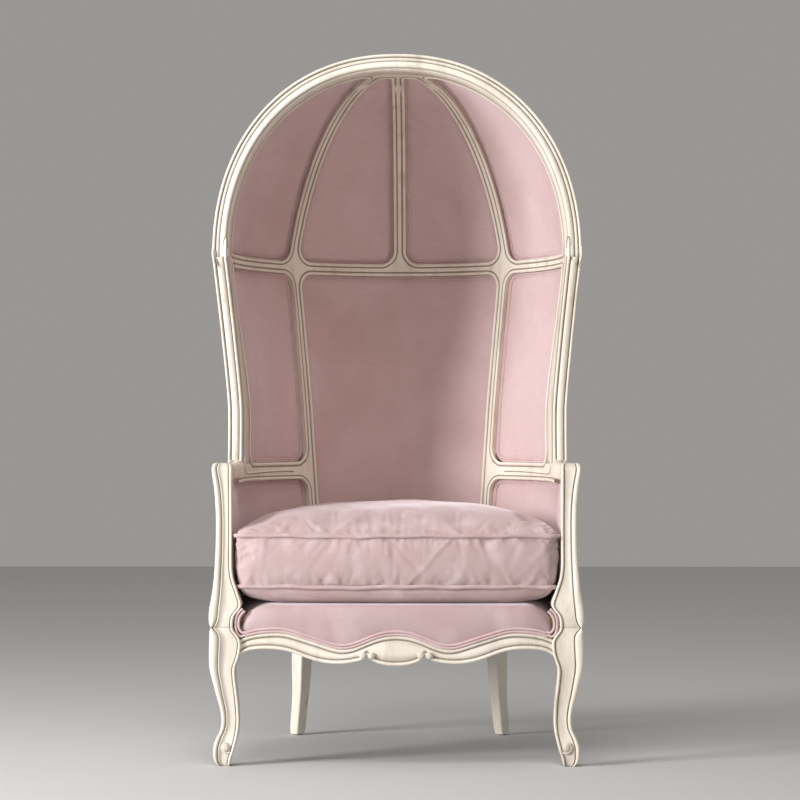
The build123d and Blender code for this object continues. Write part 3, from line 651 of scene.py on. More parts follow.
def arch_line(depth, setback):
    """A line along the arch at a depth, set back from its front."""
    x, z = hood_line(arch_angles, depth)
    return np.stack([x, np.full_like(x, hood_front_y + setback), z], -1)


def wing_line(depth, setback):
    """A line along a wing at a depth, set back from its front along the curved shell."""
    y = wing_front(wing_zs) + setback
    behind = np.maximum(y - spring_y, 0) / back_reach(wing_zs, depth)
    return np.stack([half_width(wing_zs, depth) * np.sqrt(1 - behind ** 2), y, wing_zs], -1)


carved("hood_arch_moulding", moulded_run(front_section, front_glaze, arch_line, arch_depth), "hood_arch")
carved_pair("wing_moulding_", moulded_run(wing_section, wing_glaze, wing_line, stile_depth), "wing_stile_")

# At each spring of the hood the wing's inner bead runs up onto the arch and ends in a small cut point,
# and a deep glazed cut behind the outer bead marks the joint. The point and the cut are drawn as thin
# raised rods painted dark brown: glaze and painted shade in place of a hollow.
spring_zs = np.linspace(1168, 1221, 20)
spring_bead_depth = 30.6
bead_radii = [3.0] * 13 + [2.9, 2.7, 2.4, 2.0, 1.5, 1.0, 0.5]
point_radius = 0.9
cut_radii = [0.4, 1.2, 1.9, 2.3, 2.6, 2.7, 2.7, 2.6, 2.5, 2.3, 1.9, 1.5, 1.0, 0.4]
edge_radii = [0.5, 1.3, 1.9, 2.3, 2.5, 2.6, 2.6, 2.5, 2.3, 2.0, 1.7, 1.3, 0.9, 0.4]


def unit(ways):
    """Directions brought to a length of one."""
    return ways / np.linalg.norm(ways, axis=1)[:, None]


def rod(path, radii, glaze_and_shade=0.0, sides_round=8):
    """A round bar along a line of places, with a radius at each place."""
    path = np.asarray(path, float)
    radii = np.broadcast_to(np.asarray(radii, float), (len(path),))
    ahead = unit(np.gradient(path, axis=0))
    side_way = np.cross(ahead, backwards)
    weak = np.linalg.norm(side_way, axis=1) < 0.15
    side_way[weak] = np.cross(ahead[weak], (1, 0, 0))
    side_way = unit(side_way)
    other = np.cross(ahead, side_way)
    rings = [path + (side_way * np.cos(turn) + other * np.sin(turn)) * radii[:, None]
             for turn in np.linspace(0, 2 * pi, sides_round + 1)[:-1]]
    faces = [face[::-1] for face in strip_faces(sides_round, len(path))]
    return np.concatenate(rings), faces, np.full(sides_round * len(path), glaze_and_shade)


def merged(parts):
    """Several loose shapes put into one list of places, faces and glazing with its painted shade."""
    all_places, all_faces, all_shade = [], [], []
    start = 0
    for places, faces, shade in parts:
        all_places.append(places)
        all_faces += [tuple(corner + start for corner in face) for face in faces]
        all_shade.append(shade)
        start += len(places)
    return np.concatenate(all_places), all_faces, np.concatenate(all_shade)


def through(points, count):
    """A smooth line through a few points, by their distance apart."""
    points = np.asarray(points, float)
    reach = distances(points)
    at = np.linspace(0, reach[-1], count)
    return np.stack([smooth_through(reach, points[:, axis], at) for axis in range(3)], -1)


def hood_x(z, depth):
    """Half the width of the hood's outline at a height, at a depth."""
    share = (z - ring_z) / (hood_rise - depth)
    return (hood_half_width - depth) * (1 - max(share, 0) ** hood_fullness) ** (1 / hood_fullness)


point_path = through([(hood_x(1200, 35.5), -247.5, 1196), (hood_x(1212, 35), -247.6, 1210),
                      (hood_x(1222, 31), -248.8, 1223), (hood_x(1214, 26), -249.6, 1214),
                      (hood_x(1202, 25.3), -249, 1200)], 26)
cut_path = through([(424.5, -246.5, 1196), (422.5, -246, 1176), (419.5, -245, 1160), (417.5, -244.5, 1150)],
                   len(cut_radii))
edge_path = through([(429.5, -248, 1205), (430.6, -248.5, 1190), (429.5, -248, 1172), (426, -247, 1158)],
                    len(edge_radii))
carved_pair("hood_spring_", merged([
    rod([(hood_x(z, spring_bead_depth), hood_front_y + 1.2, z) for z in spring_zs], bead_radii),
    # Painted shade with the glaze: the cut point and the cut below are dark raised rods.
    rod(point_path, point_radius, glaze_and_shade=1.0, sides_round=6),
    rod(cut_path, cut_radii, glaze_and_shade=1.0),
    rod(edge_path, edge_radii),
]))

# The front legs and the arm posts above them are carved from thick hardwood. Each has a
# roll along its outer edge and a bead along its inner edge, with glazed cuts between, and
# the rolls die into a notch at the knee. The toe is a small scroll.
leg_levels = [0, 5, 12, 18, 31, 43, 54, 68, 79, 92, 107, 125, 143, 165, 187, 207, 228, 250, 270, 290, 303,
              312, 318]
leg_outer = [407, 413, 417, 419, 420.2, 419.8, 417.2, 411.5, 406, 402.6, 401.9, 404, 408, 414, 419.3, 424.5,
             428.4, 429.3, 429.2, 428.6, 428.2, 427.6, 424.5]
leg_inner = [383, 382, 380, 378.8, 374.5, 371, 368.2, 365, 363, 361.6, 361, 361.8, 362.8, 365, 367.5, 369.3,
             368.6, 361, 357, 358, 366, 372.5, 374.3]
leg_roll = [5, 6, 7, 8, 9, 9, 9, 8.6, 8.4, 8.4, 8.6, 9.4, 10.5, 12, 13.6, 15.2, 17, 18.5, 19.5, 19.5, 17,
            10, 1.5]
leg_front = [-368, -372, -374.5, -375.5, -376.5, -375.5, -372.5, -367.5, -364.5, -362.5, -362.5, -364, -367,
             -371, -374.5, -378, -381, -383, -384, -384.3, -384, -383.5, -382]
leg_back_y = -315
leg_depth_share = 0.85
knee_levels = 6
leg_backs = [front + leg_depth_share * (outer - inner) + 4
             for front, outer, inner in zip(leg_front, leg_outer, leg_inner)]
leg_backs[-knee_levels:] = [leg_back_y] * knee_levels
post_levels = [318, 324, 333, 345, 353, 362, 370, 378, 392, 405, 425, 450, 490, 530, 570, 600, 630, 655, 668,
               678, 686, 691.5, 694.5, 695.5]
post_outer = [424.5, 427.8, 429.6, 430, 429.6, 428.8, 427.6, 426, 424, 422, 420, 418, 416, 415, 415, 416, 418,
              421, 423, 424.2, 424, 422.8, 420.5, 417]
post_inner = [374.3, 374.6, 374, 371, 366, 358.5, 355.6, 356.5, 361.5, 366, 373, 377.2]
post_inner += [378] * 8 + [378.3, 379.5, 382, 386]
post_roll = [1.5, 9, 15, 18, 18.2, 18, 17.6, 17, 16, 15, 14, 13.2, 12.6, 12.4, 12.2, 12, 11.6, 11, 10.6, 10.2,
             9.8, 9.4, 9, 8.6]
post_front = [-382, -383, -383, -382, -380.5, -378.4, -376.2, -374, -371, -369, -366.5, -364.5, -362.5,
              -361.5, -362, -363.5, -366.5, -370, -370.8, -369.8, -366, -358.5, -350, -342]
post_backs = [leg_back_y] * 8 + [-318, -324] + [post_back_y] * 14
leg_steps = 96
post_steps = 150
limb_turns = np.linspace(0, pi, 8)
least_roll = 1.2
widest_limb_bead = 6.2
limb_bead_share = 0.16
toe_pearl = (390.6, -374, 43)
toe_pearl_radii = (9.5, 5.5, 9.5)
curl_radius = 2.4
toe_curl = through([(390.6, -372, 54), (398, -373.5, 50), (400.5, -374.5, 42), (396, -375, 34),
                    (388, -374.5, 31), (381, -373, 33)], 20)


def limb_ring(outer, inner, roll, front, back, z):
    """One level section of a leg or post, from its outer back corner round the front."""
    bead = min(widest_limb_bead, (outer - inner) * limb_bead_share)
    half_roll = roll / 2
    field = outer - roll
    low = inner + bead
    points = [(outer - 2.5, back, 0.1), (outer, back - 3, 0.1), (outer, front + 9, 0.05)]
    points += [(outer - half_roll + half_roll * np.cos(turn), front + 5 - 5 * np.sin(turn), 0)
               for turn in limb_turns]
    points += [(field - 1, front + 6.4, 1), (field - 2.2, front + 6.4, 1), (field - 3, front + 3.6, 0.3),
               (field - 4.6, front + 3.0, 0), (field - 6, front + 4.6, 0.35),
               ((field - 6 + low + 4) / 2, front + 5.4, 0.05), (low + 4, front + 4.4, 0.1),
               (low + 2.4, front + 4.4, 0.3), (low + 1.8, front + 6.4, 1), (low + 0.6, front + 6.4, 1)]
    points += [(inner + bead / 2 + bead / 2 * np.cos(turn), front + 4 - 3.2 * np.sin(turn), 0)
               for turn in limb_turns]
    points += [(inner, front + 9, 0.1), (inner, back - 3, 0.1), (inner + 2.5, back, 0.1)]
    return [(x, y, z, glaze_and_shade) for x, y, glaze_and_shade in points]


def limb(levels, sizes, count):
    """A carved leg or post; sizes are its outer, inner, roll, front and back at the levels."""
    heights = np.linspace(levels[0], levels[-1], count)
    outers, inners, rolls, fronts, backs = [smooth_through(levels, row, heights) for row in sizes]
    rolls = np.maximum(rolls, least_roll)
    rings = np.array([limb_ring(*values) for values in zip(outers, inners, rolls, fronts, backs, heights)])
    rows, columns = rings.shape[:2]
    return rings[..., :3].reshape(-1, 3), tube_faces(rows, columns), rings[..., 3].ravel()


def ball(middle, radii, rows=10, columns=16):
    """A small turned knob, its lower half painted darker as shade."""
    places, shade = [], []
    for row in range(1, rows):
        lean = pi * row / rows
        for column in range(columns):
            turn = 2 * pi * column / columns
            places.append((middle[0] + radii[0] * sin(lean) * cos(turn), middle[1] + radii[1] * cos(lean),
                           middle[2] + radii[2] * sin(lean) * sin(turn)))
            # Painted shade: the lower half of the knob is darkened with the glaze colour.
            shade.append(0.35 if lean > pi / 2 else 0)
    return np.array(places), tube_faces(rows - 1, columns), np.array(shade, float)


carved_pair("carved_leg_", merged([
    limb(leg_levels, (leg_outer, leg_inner, leg_roll, leg_front, leg_backs), leg_steps),
    ball(toe_pearl, toe_pearl_radii),
    rod(toe_curl, curl_radius, glaze_and_shade=0.2),
]), "front_leg_")
post_sizes = (post_outer, post_inner, post_roll, post_front, post_backs)
carved_pair("carved_arm_post_", limb(post_levels, post_sizes, post_steps), "arm_post_")

# The arms run from the wings to the tops of the posts: a rounded roll above a cut on the
# outer side, bowed outwards, with a rolled front end.
arm_ys = [-104, -128, -150, -180, -210, -245, -280, -315, -338, -352]
arm_outer = [404.5, 404.5, 405, 407.5, 412, 418.5, 423.2, 424.5, 424, 422.5]
arm_inner = [365.5, 365.5, 366, 366.5, 368, 371.5, 375, 377.5, 379, 380.5]
arm_tops = [706, 701, 697.5, 694.5, 692.5, 692.5, 693, 694.5, 695, 690]
arm_bases = [650, 650, 649, 649, 649, 649, 649, 649, 650, 652]
arm_shape = [(-0.96, 0), (-0.96, 0.3), (-0.9, 0.35), (-0.9, 0.42), (-1, 0.48), (-1, 0.7), (-0.94, 0.84),
             (-0.8, 0.94), (-0.55, 0.99), (-0.38, 0.985), (-0.31, 0.955), (-0.25, 0.955), (-0.18, 0.985),
             (0, 1), (0.3, 0.995), (0.5, 0.98), (0.7, 0.955), (0.86, 0.89), (0.95, 0.8), (1, 0.66), (1, 0.4),
             (1, 0.2), (0.98, 0)]
arm_glaze = [0.1, 0.2, 1, 1, 0.4, 0, 0, 0, 0, 0.2, 1, 1, 0.2] + [0] * 9 + [0.1]
arm_steps = np.linspace(arm_ys[0], arm_ys[-1], 54)
arm_lines = [smooth_through([-y for y in arm_ys], row, -arm_steps)
             for row in (arm_outer, arm_inner, arm_tops, arm_bases)]
rings = np.array([[((outer + inner) / 2 - share * (outer - inner) / 2, y, base + rise * (top - base))
                   for share, rise in arm_shape]
                  for y, outer, inner, top, base in zip(arm_steps, *arm_lines)])
carved_pair("carved_arm_", (rings.reshape(-1, 3), tube_faces(len(rings), len(arm_shape)),
                            np.tile(arm_glaze, len(rings))), "arm_")

# A thin ridge with a glazed cut below it runs along the inside of each arm rail, from a
# small curl at the wing's foot to the corner of the panel below. The cut is a thin raised rod
# painted dark brown: glaze and painted shade in place of a hollow.
ridge_runs = (613, 611, 604, 588, 555, 513, 470, 425, 385, 350, 330)
ridge_zs = (706, 690, 677, 669, 667, 667.5, 668.5, 669.5, 670, 670, 669)
ridge_at = np.linspace(0, 1, 90)
ridge_steps = np.linspace(0, 1, len(ridge_runs))
ridge_run = smooth_through(ridge_steps, ridge_runs, ridge_at)
ridge_z = smooth_through(ridge_steps, ridge_zs, ridge_at)
ridge_radius = 1.7
ridge_cut_drop = 2.6
ridge_cut_radius = 0.9
carved_pair("arm_rail_ridge_", merged([
    rod(shell_point(ridge_run, ridge_z, frame_thickness + 0.6), ridge_radius),
    # Painted shade with the glaze: the cut is a dark raised rod.
    rod(shell_point(ridge_run, ridge_z - ridge_cut_drop, frame_thickness + 0.2), ridge_cut_radius,
        glaze_and_shade=1.0, sides_round=6),
]))

# The front rail is carved with a waved apron: a bead along both edges, and in the middle a
# plain lens-shaped field between two pairs of small knobs where the lower bead breaks.
apron_back_y = -337
apron_front_y = -373
apron_bow = 8
apron_end = 362
apron_top = [(0, 301), (36, 296.5), (71, 284), (101, 272.5), (130, 270), (165, 279), (218, 296), (256, 306),
             (302, 306), (340, 299), (362, 290)]
apron_low = [(0, 230.5), (31, 233.5), (50, 240), (62, 249), (67, 253.5), (72, 249.5), (89, 240.5),
             (118, 235.7), (159, 236.6), (200, 246.7), (241, 261.4), (293, 268.7), (326, 267), (352, 259),
             (362, 252)]
apron_columns = 361
bead_and_groove = 12
top_bead_and_groove = 12.4
knob_radii = (8.6, 6.2, 8.6)
knob_xs = (-76, -57, 57, 76)
knob_y = -383
knob_z = 254.5


def bowed(front_y, x):
    """The front of the seat, which bows forwards in the middle."""
    return front_y - apron_bow * (1 - (x / apron_end) ** 2)


def waved(points, x):
    """A wavy edge, the same on both sides of the middle."""
    both = [(-at, z) for at, z in points[:0:-1]] + points
    return smooth_through([at for at, z in both], [z for at, z in both], x)


# Each row of the face: its height above the lower or below the upper edge, setback and glaze
low_rows = [(0, 6, 0.2), (0.3, 1.5, 0.1), (1.5, -1.6, 0), (4.4, -3.2, 0), (7.2, -1.6, 0), (8.6, 1.2, 0.5),
            (9.4, 2.2, 1), (11, 2.2, 1), (bead_and_groove, 0.4, 0.3)]
top_rows = [(top_bead_and_groove, 0.4, 0.3), (11.2, 2.2, 1), (9.4, 2.2, 1), (8.4, 1.0, 0.4), (7, -1.2, 0),
            (4.4, -2.4, 0), (1.8, -1.2, 0), (0.3, 1.4, 0.1), (0, 6, 0.3)]
xs = np.linspace(-apron_end, apron_end, apron_columns)
top_z = waved(apron_top, xs)
low_z = waved(apron_low, xs)
bow = bowed(apron_front_y, xs)
flat_back = np.full_like(xs, apron_back_y)
field = top_z - low_z - bead_and_groove - top_bead_and_groove
rows = [(flat_back, low_z + 2, 0.1)]
rows += [(bow + back, low_z + rise, shade) for rise, back, shade in low_rows]
rows += [(bow + back, low_z + bead_and_groove + field * share, 0.02)
         for share, back in ((0.33, -0.4), (0.5, -0.8), (0.67, -0.4))]
rows += [(bow + back, top_z - drop, shade) for drop, back, shade in top_rows]
rows.append((flat_back, top_z, 0.1))
places = np.concatenate([np.stack([xs, y, z], -1) for y, z, shade in rows])
shades = np.repeat([shade for y, z, shade in rows], apron_columns)
knobs = [ball((x, knob_y, knob_z), knob_radii) for x in knob_xs]
carved("carved_apron", merged([(places, strip_faces(len(rows), apron_columns), shades)] + knobs),
       "front_seat_rail")

# The seat deck is a sprung, padded platform in velvet. Its rolled front edge comes down
# over the front rail and ends in a double welt that follows the apron and turns up at
# each side into a small ear against the arm post.
deck_back_depth = 38.5
deck_side_depth = 36.5
ear_y = -375
deck_columns = 121
deck_top_z = 376.5
deck_front_y = -376
deck_corner = 66
deck_low_z = 345
deck_front_drop = 7
deck_drop_share = 0.17
deck_tuck = 4
deck_corner_back = 9
deck_across = np.linspace(-1, 1, deck_columns)


def deck_row(half, rounding, level, setback, back_share=0, z=None):
    """One row of the deck's velvet, from side to side."""
    x = deck_across * half
    end = np.clip((np.abs(x) - half + deck_corner) / deck_corner, 0, 1)
    drop = deck_front_drop * max(1 - back_share / deck_drop_share, 0)
    top = deck_top_z - drop - rounding * (1 - np.sqrt(1 - end ** 2))
    low = waved(apron_top, x) - deck_tuck
    front = bowed(deck_front_y, x) + deck_corner_back * end ** 2 + setback
    round_share = np.maximum(1 - (x / half_width(seat_frame_z, deck_side_depth)) ** 2, 0)
    shell = spring_y + back_reach(seat_frame_z, deck_back_depth) * np.sqrt(round_share)
    y = front * (1 - back_share) + shell * back_share
    return np.stack([x, y, low + (top - low) * level if z is None else np.full_like(x, z)], -1)


front_half = 355.5
back_half = 365
front_round = 50
back_round = 8
rows = [deck_row(front_half, front_round, 0, 38)]
for level, setback in ((0, 8), (0.1, 4.5), (0.22, 1.4), (0.38, -0.6), (0.55, -1.2), (0.72, 0.2)):
    rows.append(deck_row(front_half, front_round, level, setback))
for turn in (0.35, 0.7, 1.05, 1.35):
    level = 0.8 + 0.2 * sin(turn) / sin(1.45)
    rows.append(deck_row(front_half, front_round, level, 3 + 15 * (1 - cos(turn))))
for half, rounding, share in ((front_half, front_round, 0), (front_half, front_round, 0.08), (358, 46, 0.18),
                              (361, 28, 0.32), (back_half, back_round, 0.5), (back_half, back_round, 0.75),
                              (back_half, back_round, 1)):
    rows.append(deck_row(half, rounding, 1, 20, share))
rows.append(deck_row(back_half, back_round, 1, 20, 1, z=deck_low_z))
rows.append(deck_row(front_half, back_round, 1, 39, 0, z=deck_low_z))
# The panels' velvet with a darker base colour: painted shade over the deck and its front roll.
shaded_seat_velvet = velvet("shaded_seat_velvet", (0.50, 0.37, 0.37, 1), 0.4, 7)
deck = new_piece("deck_velvet", rows, strip_faces(len(rows), deck_columns), shaded_seat_velvet)
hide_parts("seat_deck")

deck_welt_radius = 3.1
deck_welt_forward = 1.6
welt_xs = np.linspace(-345, 345, 240)
deck_welts = (
    ("deck_welt_a", 2.4, [(347, 301.5), (357, 298.5), (364, 305), (367.4, 315.5), (368.4, 329),
                          (366.4, 342.8), (361, 353), (352, 361.5)]),
    ("deck_welt_b", 9.0, [(343, 309), (352, 306.8), (358, 312), (361, 319), (361.6, 329), (359.4, 340.5),
                          (354.5, 349), (347, 356.5)]),
)
for name, rise, ear in deck_welts:
    front = bowed(apron_front_y, welt_xs) - deck_welt_forward
    run = np.stack([welt_xs, front, waved(apron_top, welt_xs) + rise], -1)
    ear_path = through([(x, ear_y, z) for x, z in ear], 40)
    path = np.concatenate([(ear_path * mirror_x)[::-1], run, ear_path])
    places, faces, shade = rod(path, deck_welt_radius)
    new_piece(name, places, faces, welt_velvet)

# The loose seat cushion is a thick box cushion: two crowned velvet panels and a boxing
# between them, a covered cord in both seams and a feather-wrapped core inside. The
# filling swells the panels between the held seams, and the velvet puckers along them.
cushion_half_front = 371
cushion_half_back = 357
cushion_front_y = -370
cushion_break_y = -150
cushion_back_y = 318
cushion_bow = 9
cushion_corner = 26
cushion_columns = 500
seam_low_z = 411
seam_high_z = 528
seam_low_inset = 8
cushion_low_z = 377.6
cushion_high_z = 588
cushion_middle = np.array([0.0, -35.0])
corner_lift = 15
corner_reach = 45
low_dip = 6.5
low_dip_start_y = -245
low_dip_run = 115
low_edge_power = 28
low_shares = (0.03, 0.15, 0.3, 0.45, 0.6, 0.7, 0.78, 0.84, 0.88, 0.92, 0.945, 0.965, 0.98, 0.99)
high_shares = (0.99, 0.975, 0.955, 0.93, 0.9, 0.86, 0.81, 0.75, 0.67, 0.58, 0.48, 0.37, 0.25, 0.13, 0.03)
seam_gap = 2
side_bulge = 5


def cushion_outline(count):
    """The plan of the cushion, evenly spaced, and its length."""
    points = []
    for turn in np.linspace(0, pi, 121):
        points.append((cushion_half_back * cos(turn),
                       cushion_break_y + (cushion_back_y - cushion_break_y) * sin(turn)))
    corner_y = cushion_front_y + cushion_corner
    corner_x = cushion_half_front - cushion_corner
    for turn in np.linspace(0, pi / 2, 14):
        points.append((-corner_x - cushion_corner * cos(turn), corner_y - cushion_corner * sin(turn)))
    for share in np.linspace(-1, 1, 41)[1:-1]:
        points.append((corner_x * share, cushion_front_y - cushion_bow * (1 - share ** 2)))
    for turn in np.linspace(pi / 2, 0, 14):
        points.append((corner_x + cushion_corner * cos(turn), corner_y - cushion_corner * sin(turn)))
    points = np.array(points + points[:1])
    travelled = np.concatenate([[0], np.cumsum(np.hypot(*np.diff(points, axis=0).T))])
    at = np.linspace(0, travelled[-1], count + 1)[:-1]
    return np.stack([np.interp(at, travelled, points[:, axis]) for axis in (0, 1)], -1), travelled[-1]


outline, outline_length = cushion_outline(cushion_columns)
ahead = np.roll(outline, -1, 0) - np.roll(outline, 1, 0)
outward = unit(np.stack([ahead[:, 1], -ahead[:, 0]], -1))
outward = outward * np.sign(np.sum(outward * (outline - cushion_middle), 1))[:, None]
corner_gap = np.hypot(cushion_half_front - np.abs(outline[:, 0]), outline[:, 1] - cushion_front_y)
corner_share = np.exp(-(corner_gap / corner_reach) ** 2)
low_outline = outline - outward * seam_low_inset


def level_ring(plan, level):
    """A ring of the cushion from its plan and its height."""
    return np.column_stack([plan, np.broadcast_to(level, cushion_columns)])


rings = []
for share in low_shares:
    plan = cushion_middle + (low_outline - cushion_middle) * share
    free = 1 - share ** low_edge_power
    level = cushion_low_z + (seam_low_z - seam_gap - cushion_low_z) * share ** low_edge_power
    level = level + corner_lift * corner_share * share ** 8 * free
    level = level - low_dip * np.clip((low_dip_start_y - plan[:, 1]) / low_dip_run, 0, 1) * free
    rings.append(level_ring(plan, level))
for share in np.linspace(0, 1, 15):
    plan = low_outline + outward * (seam_low_inset * share - seam_gap + side_bulge * sin(pi * share) ** 0.7)
    rings.append(level_ring(plan, seam_low_z + seam_gap + (seam_high_z - seam_low_z - 2 * seam_gap) * share))
for share in high_shares:
    plan = cushion_middle + (outline - cushion_middle) * share
    rise = (1 - share ** 3) ** 0.6
    rings.append(level_ring(plan, seam_high_z + seam_gap + (cushion_high_z - seam_high_z - seam_gap) * rise))
# The panels' velvet with a darker base colour: painted shade over the cushion and its cords.
shaded_cushion_velvet = velvet("shaded_cushion_velvet", (0.52, 0.39, 0.38, 1), 0.5, 11)
faces = tube_faces(len(rings), cushion_columns)
cushion = new_piece("seat_cushion", rings, faces, shaded_cushion_velvet, body="cushion")

seam_reach = 9
seam_band = 4
voxel_size = 0.0052
cloth_frames = 20
pressure = 4
side_room = 4
front_room = 5
top_room = 12
under_room = 1.5
remesh = cushion.modifiers.new("even_mesh", "REMESH")
remesh.mode = "VOXEL"
remesh.voxel_size = voxel_size
remesh.use_smooth_shade = True


def applied(piece):
    """A piece's mesh with its modifiers applied."""
    shown = piece.evaluated_get(bpy.context.evaluated_depsgraph_get())
    mesh = bpy.data.meshes.new_from_object(shown)
    piece.modifiers.clear()
    piece.data = mesh
    return mesh


def mesh_vectors(mesh, kind):
    """The places of a mesh, in metres, or the directions that they face."""
    flat = np.empty(len(mesh.vertices) * 3)
    mesh.vertices.foreach_get(kind, flat)
    return flat.reshape(-1, 3)


cushion_mesh = applied(cushion)
before = mesh_vectors(cushion_mesh, "co") / mm
normals = mesh_vectors(cushion_mesh, "normal")
nearest = np.concatenate([np.argmin(((part[:, None, :2] - outline[None]) ** 2).sum(-1), 1)
                          for part in np.array_split(before, 60)])
inside = np.sum((outline[nearest] - before[:, :2]) * outward[nearest], 1)
to_low = np.abs(before[:, 2] - seam_low_z)
to_high = np.abs(before[:, 2] - seam_high_z)
at_seam = (inside < seam_reach) & ((to_low < seam_band) | (to_high < seam_band))
held = cushion.vertex_groups.new(name="seam")
held.add([int(index) for index in np.flatnonzero(at_seam)], 1, "REPLACE")
cloth = cushion.modifiers.new("swell", "CLOTH")
cloth.settings.quality = 3
cloth.settings.use_pressure = True
cloth.settings.uniform_pressure_force = pressure
cloth.settings.effector_weights.gravity = 0
cloth.settings.vertex_group_mass = "seam"
cloth.settings.shrink_min = -0.015
for step in range(1, cloth_frames + 1):
    bpy.context.scene.frame_set(step)
cushion_mesh = applied(cushion)
bpy.context.scene.frame_set(1)
cushion.vertex_groups.clear()
moved = mesh_vectors(cushion_mesh, "co") / mm - before
front_share = np.clip(-outward[nearest][:, 1], 0, 1)
room = side_room + front_room * front_share
room = np.where(normals[:, 2] > 0.3, top_room, np.where(normals[:, 2] < -0.3, under_room, room))
swollen = before + moved * (room / np.hypot(room, np.linalg.norm(moved, axis=1)))[:, None]

# Puckers: short folds that start at a seam and die away from it
fold_width_reach = 4
fold_start = 5
chance = np.random.default_rng(7)
along = nearest * outline_length / cushion_columns


def folds(count, from_seam, widths, lengths, heights, lean):
    """Many small folds side by side along a seam."""
    total = np.zeros(len(along))
    for fold in range(count):
        start = chance.uniform(0, outline_length)
        wide = chance.uniform(*widths)
        long = chance.uniform(*lengths)
        high = chance.uniform(*heights) * chance.choice([-1, 1], p=[0.55, 0.45])
        slope = chance.uniform(-lean, lean)
        off = along - start - slope * from_seam
        off = (off + outline_length / 2) % outline_length - outline_length / 2
        near = np.abs(off) < fold_width_reach * wide
        bump = np.exp(-(off[near] / wide) ** 2) * np.exp(-(from_seam[near] / long) ** 2)
        total[near] += high * bump * np.minimum(from_seam[near] / fold_start, 1)
    return total


below_high = np.maximum(seam_high_z - before[:, 2], 0)
above_low = np.maximum(before[:, 2] - seam_low_z, 0)
side_share = np.clip(1 - normals[:, 2] ** 2 * 1.3, 0, 1)
side_folds = folds(130, below_high, (5, 12), (14, 75), (0.8, 3.2), 1.0)
side_folds += folds(140, above_low, (5, 10), (12, 40), (0.8, 3.2), 0.6)
top_folds = folds(150, np.maximum(inside, 0), (5, 10), (8, 26), (0.6, 2.3), 0.6)
top_share = np.clip(normals[:, 2], 0, 1) ** 0.5
x = before[:, 0]
y = before[:, 1]
wide_waves = 1.6 * np.sin(x / 47 + 1.1 * np.sin(y / 61)) * np.sin(y / 53 + 0.6)
wide_waves += 1.1 * np.sin(x / 23 + y / 90) * np.sin(y / 31 + x / 70)
wide_waves *= np.clip(inside / 60, 0, 1)
lift = side_share * side_folds + top_share * (top_folds + wide_waves)
lift = np.where(at_seam, 0, lift)
final = swollen + normals * lift[:, None]
cushion_mesh.vertices.foreach_set("co", (final * mm).ravel())
cushion_mesh.update()
cushion.modifiers.new("smooth", "SUBSURF").levels = 1
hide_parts("cushion_cover", "cushion_core")

# The covered cords follow the two seams, slightly uneven, as sewn cords are
cord_radius = 4.8
cord_outward = 1.4
cord_turns = np.linspace(0, 2 * pi, 11)[:-1]
wave_at = np.arange(cushion_columns) * 2 * pi / cushion_columns
wave = 0.8 * (np.sin(wave_at * 5 + 1) + np.sin(wave_at * 9 + 2) + np.sin(wave_at * 23))
cord_faces = grid_faces(len(cord_turns), cushion_columns, True)
sideways = level_ring(outward, 0)
for label, plan, level in (("top", outline, seam_high_z), ("bottom", low_outline, seam_low_z)):
    loop = level_ring(plan + outward * cord_outward, level + wave)
    cord = [loop + cord_radius * (sideways * cos(turn) + np.array(up) * sin(turn)) for turn in cord_turns]
    new_piece("cushion_welt_" + label, cord, cord_faces, shaded_cushion_velvet, body="cushion")

# Under the seat: woven webbing, springs, corner blocks, screws and dowels, a thin black
# lining tacked below, and a glide under each foot. These are the frame's own pieces.


def hidden_finish(nodes, name, roughness, noise, base, over, strength, metallic=0):
    """A finish in two colours on pieces of the frame that are out of sight."""
    material, shader = new_finish(name, Roughness=roughness, Metallic=metallic)
    join(material, layered(material, base, [(noise, over, strength)]), "Result", shader, "Base Color")
    finish_nodes(nodes, material)


hidden_finish(["dust_cover"], "black_lining", 0.95, (700, 2, 0.35, 0.65),
              (0.02, 0.02, 0.021, 1), (0.045, 0.044, 0.045, 1), 0.8)
hidden_finish(["seat_webbing"], "jute_webbing", 0.9, (420, 3, 0.4, 0.6),
              (0.36, 0.25, 0.14, 1), (0.22, 0.14, 0.07, 1), 0.7)
hidden_finish(["corner_blocks", "frame_dowels"], "bare_beech", 0.6, (60, 5, 0.4, 0.65, (1, 0.15, 1)),
              (0.55, 0.38, 0.22, 1), (0.36, 0.23, 0.12, 1), 0.6)
hidden_finish(["seat_springs", "corner_screws"], "spring_steel", 0.35, (80, 4, 0.4, 0.7),
              (0.42, 0.42, 0.43, 1), (0.25, 0.23, 0.21, 1), 0.5, metallic=1)
hidden_finish(["foot_glides"], "foot_glide", 0.6, (260, 4, 0.45, 0.7),
              (0.12, 0.1, 0.08, 1), (0.2, 0.18, 0.15, 1), 0.6)

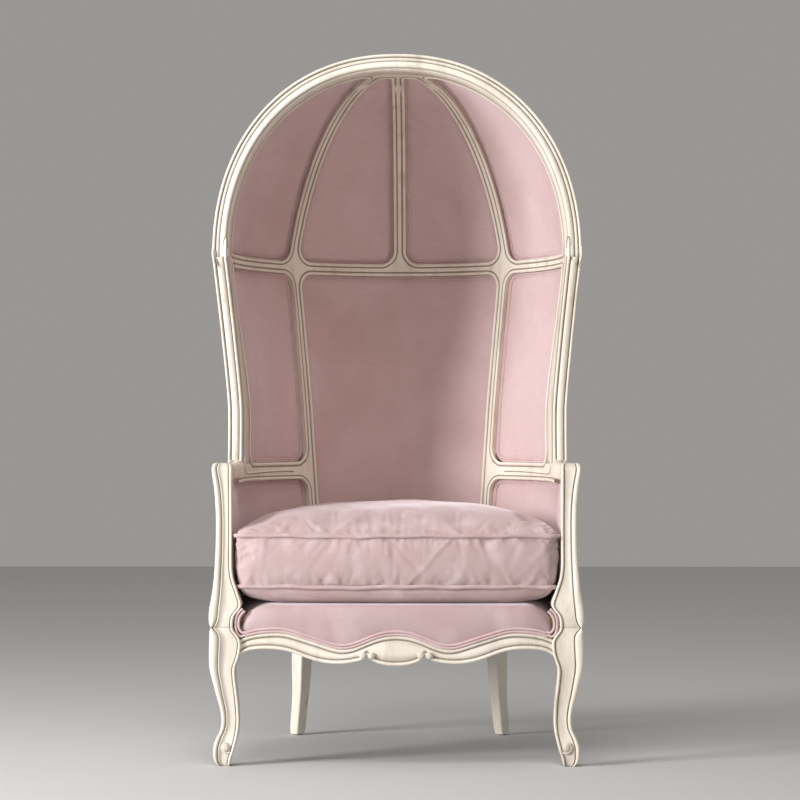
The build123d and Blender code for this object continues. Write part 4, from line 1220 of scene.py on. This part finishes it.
# The studio: a pale floor, a light backdrop and soft light from the upper left, none of it
# part of the chair. The camera stands where the photographer's did.
pale_floor = new_finish("pale_floor", Roughness=0.9, Base_Color=(0.62, 0.62, 0.61, 1))[0]
floor_reach = 9
floor_corners = [(x * floor_reach, y * floor_reach, 0) for x, y in ((-1, -1), (1, -1), (1, 1), (-1, 1))]
floor_mesh = bpy.data.meshes.new("floor")
floor_mesh.from_pydata(floor_corners, [], [(0, 1, 2, 3)])
floor_mesh.materials.append(pale_floor)
floor = bpy.data.objects.new("floor", floor_mesh)
bpy.context.collection.objects.link(floor)


def soft_light(name, place, aim, size, power, colour):
    """A large square lamp turned towards a point."""
    lamp = bpy.data.lights.new(name, "AREA")
    lamp.color = colour
    lamp.size = size
    lamp.energy = power
    light = bpy.data.objects.new(name, lamp)
    light.location = place
    light.rotation_euler = (Vector(aim) - Vector(place)).to_track_quat("-Z", "Y").to_euler()
    bpy.context.collection.objects.link(light)


soft_light("key", (-4.1, -2.9, 1.6), (0, 0, 1.1), 1.5, 290, (0.98, 0.98, 1))
soft_light("top", (-0.5, -2.4, 4.8), (0, -0.2, 0.6), 2.0, 70, (1, 0.98, 0.98))
soft_light("fill", (1.4, -5.5, 1.5), (0, 0, 0.8), 3.0, 20, (1, 0.95, 0.9))

world = bpy.data.worlds.new("studio")
bpy.context.scene.world = world
world.use_nodes = True
world.node_tree.nodes["Background"].inputs["Color"].default_value = (1, 0.96, 0.92, 1)
world.node_tree.nodes["Background"].inputs["Strength"].default_value = 0.32

camera_place = (0.080, -7.055, 0.785)
camera_aim = (0.0043, 0, 0.843)
camera_data = bpy.data.cameras.new("camera")
camera_data.sensor_width = 36
camera_data.lens = 131.2
camera = bpy.data.objects.new("camera", camera_data)
bpy.context.collection.objects.link(camera)
camera.location = camera_place
camera.rotation_euler = (Vector(camera_aim) - Vector(camera_place)).to_track_quat("-Z", "Y").to_euler()
bpy.context.scene.camera = camera
bpy.context.scene.view_settings.view_transform = "Standard"
